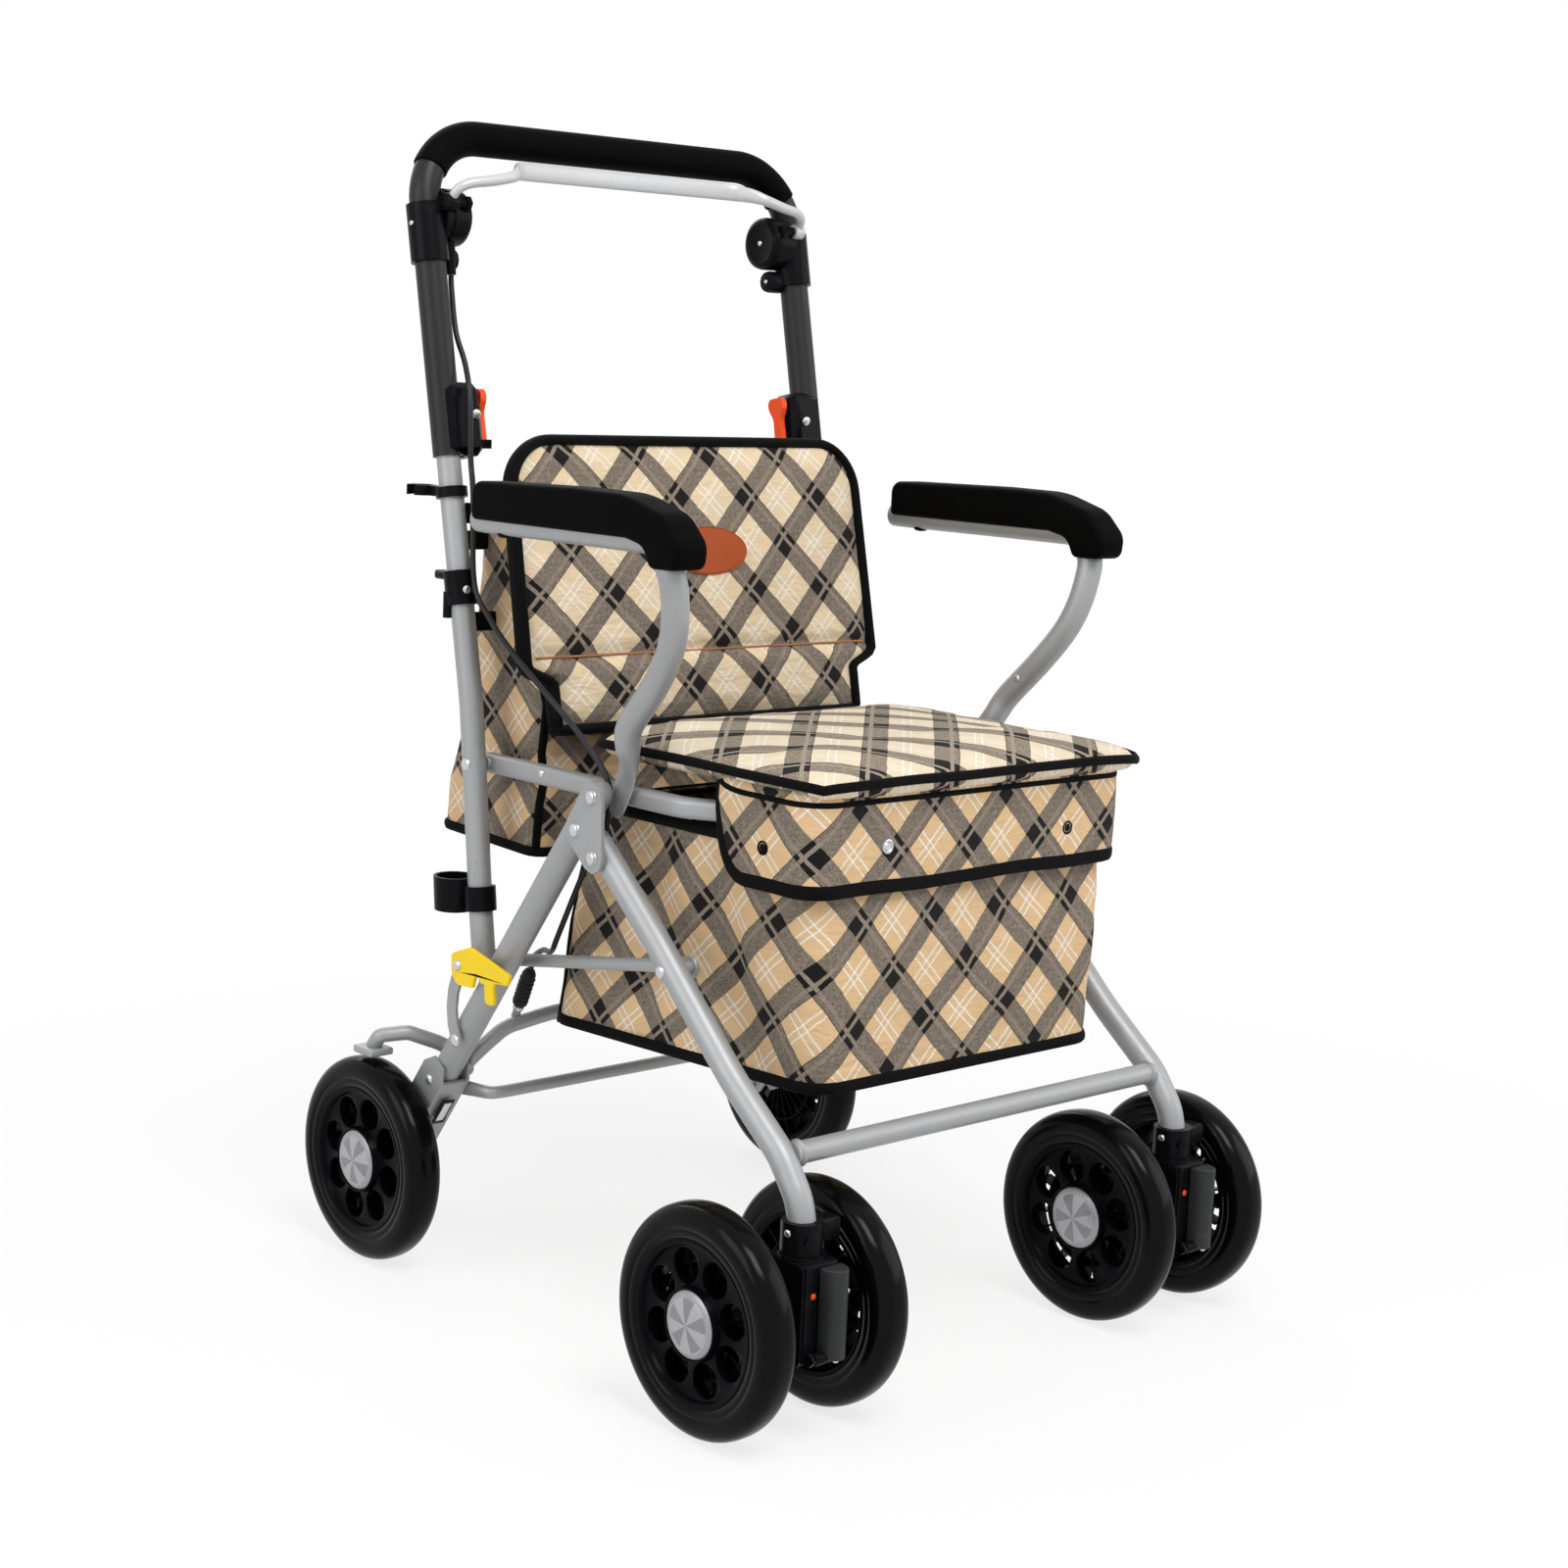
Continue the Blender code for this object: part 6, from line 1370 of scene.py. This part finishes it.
def sag(u, v):
    """How far the lid's corners droop."""
    return 0.0035 * (u * v) ** 6


def make_cushion():
    """The padded lid: two crowned cloth shells sewn together with black piping."""
    count = 72
    steps = [2 * step / count - 1 for step in range(count + 1)]
    tops, bottoms, pattern = [], [], []
    for v in steps:
        row = [lid_place(u, v) for u in steps]
        heights = [lid_heights(x, y, u, v) for (x, y), u in zip(row, steps)]
        tops.append([Vector((*place, top)) for place, (top, _) in zip(row, heights)])
        bottoms.append([Vector((*place, under)) for place, (_, under) in zip(row, heights)])
        pattern.append([(x + 0.0033, y + 0.0325) for x, y in row])
    shape = cloth_grid(tops, pattern)
    add(shape, cloth_grid(bottoms, pattern))
    # The lid takes the plaid copy lightened as painted light.
    made = piece("seat_pad", shape, SEAT_CLOTH_PAINTED_LIGHT, "seat_cushion", True, 80)
    edge = []
    knots = 160
    for step in range(knots):
        angle = math.tau * step / knots
        u, v = math.cos(angle), math.sin(angle)
        reach = max(abs(u), abs(v))
        u, v = u / reach, v / reach
        x, y = lid_place(u, v)
        edge.append(Vector((x, y, SEAM_Z + ripple(x, y, 14, 5) * 0.0010 - sag(u, v))))
    piping = closed_tape(edge, UP, 0.0072, 0.0052)
    bound("seat_piping", piping, "seat_cushion")


def make_flap():
    """The skirt round the front of the lid, bound in black."""
    half, front, rear = 0.1650, -0.2135, -0.1180
    corners = [(-half, rear, 0), (-half, front, 0), (half, front, 0), (half, rear, 0)]
    count, levels = 150, 16
    path = spaced(rounded(corners, 0.0250, 8), count)
    total = length_of(path)
    top, short, long = 0.4375, 0.4145, 0.3675
    rows = [[] for _ in range(levels + 1)]
    pattern = [[] for _ in range(levels + 1)]
    ways = [outward_at(path, column) for column in range(count + 1)]
    for column, point in enumerate(path):
        share = min(max((rear - point.y) / 0.0290, 0), 1)
        drop = math.sqrt(1 - (1 - share) ** 2)
        bottom = short - (short - long) * drop
        bottom += ripple(point.x, point.y, 11, 2) * 0.0022 * drop
        run = total * column / count - total / 2
        for level in range(levels + 1):
            down = level / levels
            z = top + (bottom - top) * down
            wave = ripple(run, z, 16, 6) * 0.0016 * down
            bulge = 0.0012 * math.sin(math.pi * down) + wave
            rows[level].append(Vector((point.x, point.y, z)) + ways[column] * bulge)
            pattern[level].append((run - 0.0638, z - 0.3918))
    # The flap takes the plaid copy darkened as painted shade.
    made = piece("front_flap", cloth_grid(rows, pattern), BAG_CLOTH_PAINTED_SHADE, "bag_flap", True, 80)
    with_modifier(made, "SOLIDIFY", thickness=0.0024, offset=0)
    hem = rows[levels]
    start = [Vector((hem[0].x, hem[0].y, 0.4340 - 0.004 * step)) for step in range(4)]
    finish = [Vector((hem[-1].x, hem[-1].y, point.z)) for point in reversed(start)]
    around = [ways[0]] * 4 + ways + [ways[-1]] * 4
    binding = tape([*start, *hem, *finish], around, 0.0048, 0.0115)
    add(binding, tape(rows[2], ways, 0.0034, 0.0060))
    edge = bound("flap_binding", binding, "bag_flap")


def make_snaps():
    """Two snaps and a stud on the flap."""
    ring = [(0, 0.0016), (0.0026, 0.0016), (0.0034, 0.0008)]
    ring += [(0.0042, 0.0018), (0.0052, 0.0015), (0.0056, -0.0006)]
    snaps = (
        ((-0.1662, -0.1660, 0.3935), (-1, 0, 0), BLACK),
        ((-0.0940, -0.2150, 0.3960), (0, -1, 0), STEEL),
        ((0.0955, -0.2150, 0.3930), (0, -1, 0), BLACK),
    )
    for index, (spot, way, look) in enumerate(snaps):
        piece(f"flap_snap_{index + 1}", turned(ring, 36, spot, way), look, "bag_flap")


def bag_ring(level, count):
    """One level of the bag's wall, from the middle of the rear round by the right."""
    top = 0.3970
    half = 0.1475 + 0.0125 * level
    front = -0.2122 + 0.0062 * level
    rear = 0.0975 - 0.0525 * level
    front_z = 0.2214 + (top - 0.2214) * level
    rear_z = 0.2110 + (top - 0.2110) * level
    points = []
    for point in spaced(box_path(half, rear, front, 0.0240, 8), count):
        share = (point.y - front) / (rear - front)
        points.append(Vector((point.x, point.y, front_z + (rear_z - front_z) * share)))
    return points


def bag_swell(point, outward, run, level):
    """How far the bag's wall stands out: a slow swell, three slanting folds and a crinkle."""
    held = math.sin(math.pi * level) ** 0.7
    swell = 0.0035 * held * ripple(run, level * 0.2, 7, 4)
    side = abs(outward.x) ** 2
    slants = ((-0.115, 0.75, 0.0100), (-0.030, -0.35, 0.0070), (0.020, 0.25, 0.0040))
    folds = 0.0
    for middle, lean, depth in slants:
        off = (point.y - middle - lean * (point.z - 0.32) * 0.35) / 0.020
        folds += depth * math.exp(-off * off) * side * held
    return swell - folds * 0.8 + 0.0013 * ripple(run, point.z, 45, 9) * held


def bag_corner(ring, row, side):
    """The wall's rear corner on this side: the corner of the ring, moved like the cloth there."""
    inset = 0.0070
    near = max(range(len(ring)), key=lambda index: ring[index].x * side + ring[index].y)
    half, rear = max(point.x for point in ring), max(point.y for point in ring)
    corner = Vector((side * (half - inset), rear - inset, ring[near].z))
    return corner + row[near] - ring[near]


def make_bag():
    """The bag: one cloth wall that swells and buckles, a stiff floor and black binding."""
    count, levels = 220, 44
    rings = [bag_ring(index / levels, count) for index in range(levels + 1)]
    total = length_of(rings[levels // 2])
    rows, pattern = [], []
    for index, ring in enumerate(rings):
        row, pattern_row = [], []
        for column, point in enumerate(ring):
            outward = outward_at(ring, column).normalized()
            run = total * column / count - total / 2
            row.append(point + outward * bag_swell(point, outward, run, index / levels))
            drift = 0.0050 * ripple(run, point.z, 11, 15)
            sway = 0.0050 * ripple(run, point.z, 13, 21)
            pattern_row.append((run - 0.0356 + drift, point.z - 0.3400 + sway))
        rows.append(row)
        pattern.append(pattern_row)
    walls = add(cloth_grid(rows, pattern), cloth_floor(rings[0], 8))
    # The bag takes the plaid copy darkened as painted shade.
    made = piece("bag_shell", walls, BAG_CLOTH_PAINTED_SHADE, "shopping_bag", True, 80)
    with_modifier(made, "SOLIDIFY", thickness=0.0022, offset=-1)
    wide, thick = 0.0090, 0.0046
    binding = closed_tape(bag_ring(0.02, 160)[:-1], UP, wide, thick)
    for _, side in SIDES:
        column = [bag_corner(rings[index], rows[index], side) for index in range(0, levels + 1, 4)]
        add(binding, tape(column, Vector((side, -1, 0)).normalized(), wide, thick))
    edge = bound("bag_binding", binding, "shopping_bag")
    hem = closed_tape(bag_ring(0.985, 160)[:-1], UP, 0.0085, 0.0050)
    hem = bound("bag_hem", hem, "shopping_bag")


# The backrest's own frame: its foot, the way up its slope and the way forward
BACK_FOOT = Vector((0, 0.0748, 0.4440))
BACK_RISE = Vector((0, 0.1198, 0.6627)) - BACK_FOOT
BACK_HEIGHT = BACK_RISE.length
BACK_UP = BACK_RISE.normalized()
BACK_FORWARD = Vector((0, -BACK_UP.z, BACK_UP.y))
BACK_MIDDLE = -0.0090
BACK_SEAM = 0.0560


def on_back(x, rise, out=0.0):
    """A place at this rise up the slope, this far forward of the panel's middle."""
    return BACK_FOOT + BACK_UP * rise + Vector((x, 0, 0)) + BACK_FORWARD * (BACK_MIDDLE + out)


def back_half(rise):
    """Half the backrest's width: narrow at the foot, stepped out, then round at the top."""
    narrow, step_from, step_to, corner = 0.1580, 0.0370, 0.0470, 0.0400
    if rise < step_from:
        return narrow
    if rise < step_to:
        return narrow + 0.0240 * (rise - step_from) / (step_to - step_from)
    side = narrow + 0.0240 - 0.0030 * (rise - step_to) / (BACK_HEIGHT - step_to)
    if rise > BACK_HEIGHT - corner:
        share = (rise - (BACK_HEIGHT - corner)) / corner
        return side - corner + corner * math.sqrt(max(1 - share * share, 0))
    return side


def back_fill(x, rise, half):
    """How far the padding stands out in front and behind."""
    rim = min((half - abs(x)) / 0.020, rise / 0.016, (BACK_HEIGHT - rise) / 0.018, 1)
    rim = max(rim, 0) ** 0.6
    sewn = math.exp(-(((rise - BACK_SEAM) / 0.0060) ** 2)) * 0.0052
    soft = ripple(x, rise, 12, 7) * 0.0016 + ripple(x, rise, 48, 1) * 0.0008
    return (0.0080 + soft - sewn) * rim, (0.0070 + soft * 0.5) * rim


def make_backrest():
    """The back panel: padded in two fields with a sewn line between, bound all round."""
    wide, high = 76, 64
    fronts, backs, pattern = [], [], []
    for row in range(high + 1):
        share = row / high
        if share >= 0.8:
            share = 0.8 + 0.2 * math.sin((share - 0.8) / 0.2 * math.pi / 2)
        rise = BACK_HEIGHT * share
        half = back_half(rise)
        front_row, back_row, pattern_row = [], [], []
        for column in range(wide + 1):
            x = (2 * column / wide - 1) * half
            out, behind = back_fill(x, rise, half)
            if column in (0, wide) or row in (0, high):
                out = behind = 0
            base = on_back(x, rise)
            front_row.append(base + BACK_FORWARD * out)
            back_row.append(base - BACK_FORWARD * behind)
            pattern_row.append((x - 0.0526, rise - 0.1776))
        fronts.append(front_row)
        backs.append(back_row)
        pattern.append(pattern_row)
    shape = cloth_grid(fronts, pattern)
    add(shape, cloth_grid(backs, pattern))
    made = piece("back_pad", shape, BACK_CLOTH, "backrest", True, 80)
    left, right = [row[0] for row in fronts], [row[-1] for row in fronts]
    loop = left + fronts[-1][1:-1] + right[::-1] + fronts[0][-2:0:-1]
    loop = spaced([*loop, loop[0]], 220)[:-1]
    binding = closed_tape(loop, BACK_FORWARD, 0.0165, 0.0090)
    bound("back_binding", binding, "backrest")


def make_back_trim():
    """On the backrest: the tan seam, the bare oval patch and the straps to the uprights."""
    knots = [(2 * column / 60 - 1) * 0.179 for column in range(1, 60)]
    line = [on_back(x, BACK_SEAM, 0.0034) for x in knots]
    stitch = tape(line, BACK_UP, 0.0020, 0.0012, 10)
    piece("back_seam", stitch, TAN_SEAM, "backrest", False, 60)
    place = with_axes(on_back(0.0060, 0.1345, 0.0088), ACROSS, BACK_UP, BACK_FORWARD)
    place = place @ Matrix.Diagonal((1.0, 0.48, 1, 1))
    profile = [(0, 0.0010), (0.0375, 0.0010), (0.0385, 0.0004), (0.0400, 0.0008), (0.0410, -0.0012)]
    piece("back_patch", moved(spun(profile, 72), place), PATCH, "backrest", False, 30)
    straps = bmesh.new()
    z = 0.6020
    for _, side in SIDES:
        end = (side * 0.1800, lean_y(z), z)
        add(straps, strap((side * 0.1650, 0.1250, z), end, 0.0160, 0.0026))
    bound("back_straps", straps, "backrest")


def pouch_wall(half):
    """The pouch's rows of cloth and their places on the plaid, from the floor up."""
    front_side = [(0.1040, 0.3440), (0.0985, 0.4200), (0.1010, 0.4650), (0.1290, 0.6000)]
    rear_side = [(0.2280, 0.3490), (0.2250, 0.3850), (0.2070, 0.4310)]
    rear_side += [(0.1950, 0.5000), (0.1850, 0.6000)]
    levels, count = 40, 160
    fronts = spaced(rounded([(0, *at) for at in front_side], [0, 0.10, 0.10, 0], 8), levels)
    rears = spaced(rounded([(0, *at) for at in rear_side], [0, 0.03, 0.05, 0.10, 0], 8), levels)
    rows, pattern = [], []
    for index, (front, rear) in enumerate(zip(fronts, rears)):
        ring = spaced(box_path(half, front.y, rear.y, 0.0120, 6), count)
        held = math.sin(math.pi * index / levels) ** 0.7
        row, pattern_row = [], []
        run = 0.0
        for column, point in enumerate(ring):
            if column:
                run += (point - ring[column - 1]).length
            share = min(max((point.y - front.y) / (rear.y - front.y), 0), 1)
            z = front.z + (rear.z - front.z) * share
            shift = (0.0022 * ripple(run, z, 12, 11) + 0.0010 * ripple(run, z, 45, 12)) * held
            outward = outward_at(ring, column)
            row.append(Vector((point.x, point.y, z)) + outward * (shift - 0.0010))
            pattern_row.append((run, z))
        rows.append(row)
        pattern.append(pattern_row)
    return rows, pattern


def nearest(row, x, y):
    """The row's point nearest to this place in plan."""
    return min(row, key=lambda point: abs(point.x - x) + abs(point.y - y))


def make_rear_bag():
    """The pouch behind the backrest: front wall, curved rear wall, floor and binding."""
    half = 0.1590
    rows, pattern = pouch_wall(half)
    walls = add(cloth_grid(rows, pattern), cloth_floor(rows[0], 6))
    # The pouch takes the plaid copy darkened as painted shade.
    made = piece("rear_pouch", walls, BAG_CLOTH_PAINTED_SHADE, "rear_bag", True, 80)
    with_modifier(made, "SOLIDIFY", thickness=0.0020, offset=-1)
    wide, thick = 0.0080, 0.0046
    binding = closed_tape(rows[-1][:-1], UP, wide, thick)
    add(binding, closed_tape(rows[0][:-1], UP, wide, thick))
    for _, side in SIDES:
        column = [nearest(row, side * half, min(point.y for point in row)) for row in rows[::3]]
        add(binding, tape(column, ACROSS, wide, thick))
    edge = bound("pouch_binding", binding, "rear_bag")
    straps = bmesh.new()
    for _, side in SIDES:
        for z in (0.5190, 0.5810):
            y = lean_y(z) + 0.0020
            add(straps, strap((side * 0.1560, y, z), (side * 0.1810, y, z), 0.0150, 0.0030))
    straps = bound("pouch_straps", straps, "rear_bag")


make_cushion()
make_flap()
make_snaps()
make_bag()
make_backrest()
make_back_trim()
make_rear_bag()


# Floor and light


def set_floor():
    """A pale paper floor that fades into the world behind it."""
    shape = bmesh.new()
    bmesh.ops.create_grid(shape, x_segments=1, y_segments=1, size=14)
    floor = mesh_of("floor", shape)
    ground = linked("floor", floor)
    look = Look("floor_paper", (0.86, 0.86, 0.86), 0.9)
    rays = look.tree.nodes.new("ShaderNodeLightPath")
    seen = Field(look, rays.outputs["Is Camera Ray"])
    seen = seen + Field(look, rays.outputs["Is Glossy Ray"])
    seen = seen + Field(look, rays.outputs["Is Transmission Ray"])
    glow = look.node("ShaderNodeEmission", {}, {"Color": (1, 1, 1, 1), "Strength": 1.0})
    surface = Field(look, look.shader.outputs[0])
    share = look.ramp(look.distance(look.place()), 0.45, 1.3) * 0.22 + 0.78
    mixed = look.node("ShaderNodeMixShader", {}, {0: seen * share, 1: surface, 2: glow})
    output = next(node for node in look.tree.nodes if node.type == "OUTPUT_MATERIAL")
    look.tree.links.new(mixed.socket, output.inputs["Surface"])
    floor.materials.append(look.material)


def set_world():
    """A white world, brighter to the eye than as a light."""
    world = bpy.data.worlds.new("studio")
    world.use_nodes = True
    bpy.context.scene.world = world
    tree = world.node_tree
    rays = tree.nodes.new("ShaderNodeLightPath")
    seen = rays.outputs["Is Camera Ray"]
    for kind in ("Is Glossy Ray", "Is Transmission Ray"):
        both = tree.nodes.new("ShaderNodeMath")
        both.use_clamp = True
        tree.links.new(seen, both.inputs[0])
        tree.links.new(rays.outputs[kind], both.inputs[1])
        seen = both.outputs[0]
    lift = tree.nodes.new("ShaderNodeMath")
    lift.operation = "MULTIPLY_ADD"
    tree.links.new(seen, lift.inputs[0])
    lift.inputs[1].default_value = 0.65
    lift.inputs[2].default_value = 0.35
    back = tree.nodes["Background"]
    back.inputs["Color"].default_value = (1, 1, 1, 1)
    tree.links.new(lift.outputs[0], back.inputs["Strength"])


def set_lamps():
    """Four soft lamps that point at the object's middle."""
    lamps = (
        ("key", (-0.5, -1.5, 2.7), 1.3, 58),
        ("side", (-2.6, 0.2, 1.6), 1.6, 26),
        ("fill", (2.2, -1.9, 1.5), 1.8, 20),
        ("rim", (0.6, 2.4, 2.2), 1.6, 22),
    )
    for name, place, size, energy in lamps:
        data = bpy.data.lights.new(name, "AREA")
        data.size = size
        data.energy = energy
        linked(name, data, facing(place, Vector(place) - Vector((0, 0, 0.40))))


set_floor()
set_world()
set_lamps()
bpy.context.scene.view_settings.view_transform = "Standard"
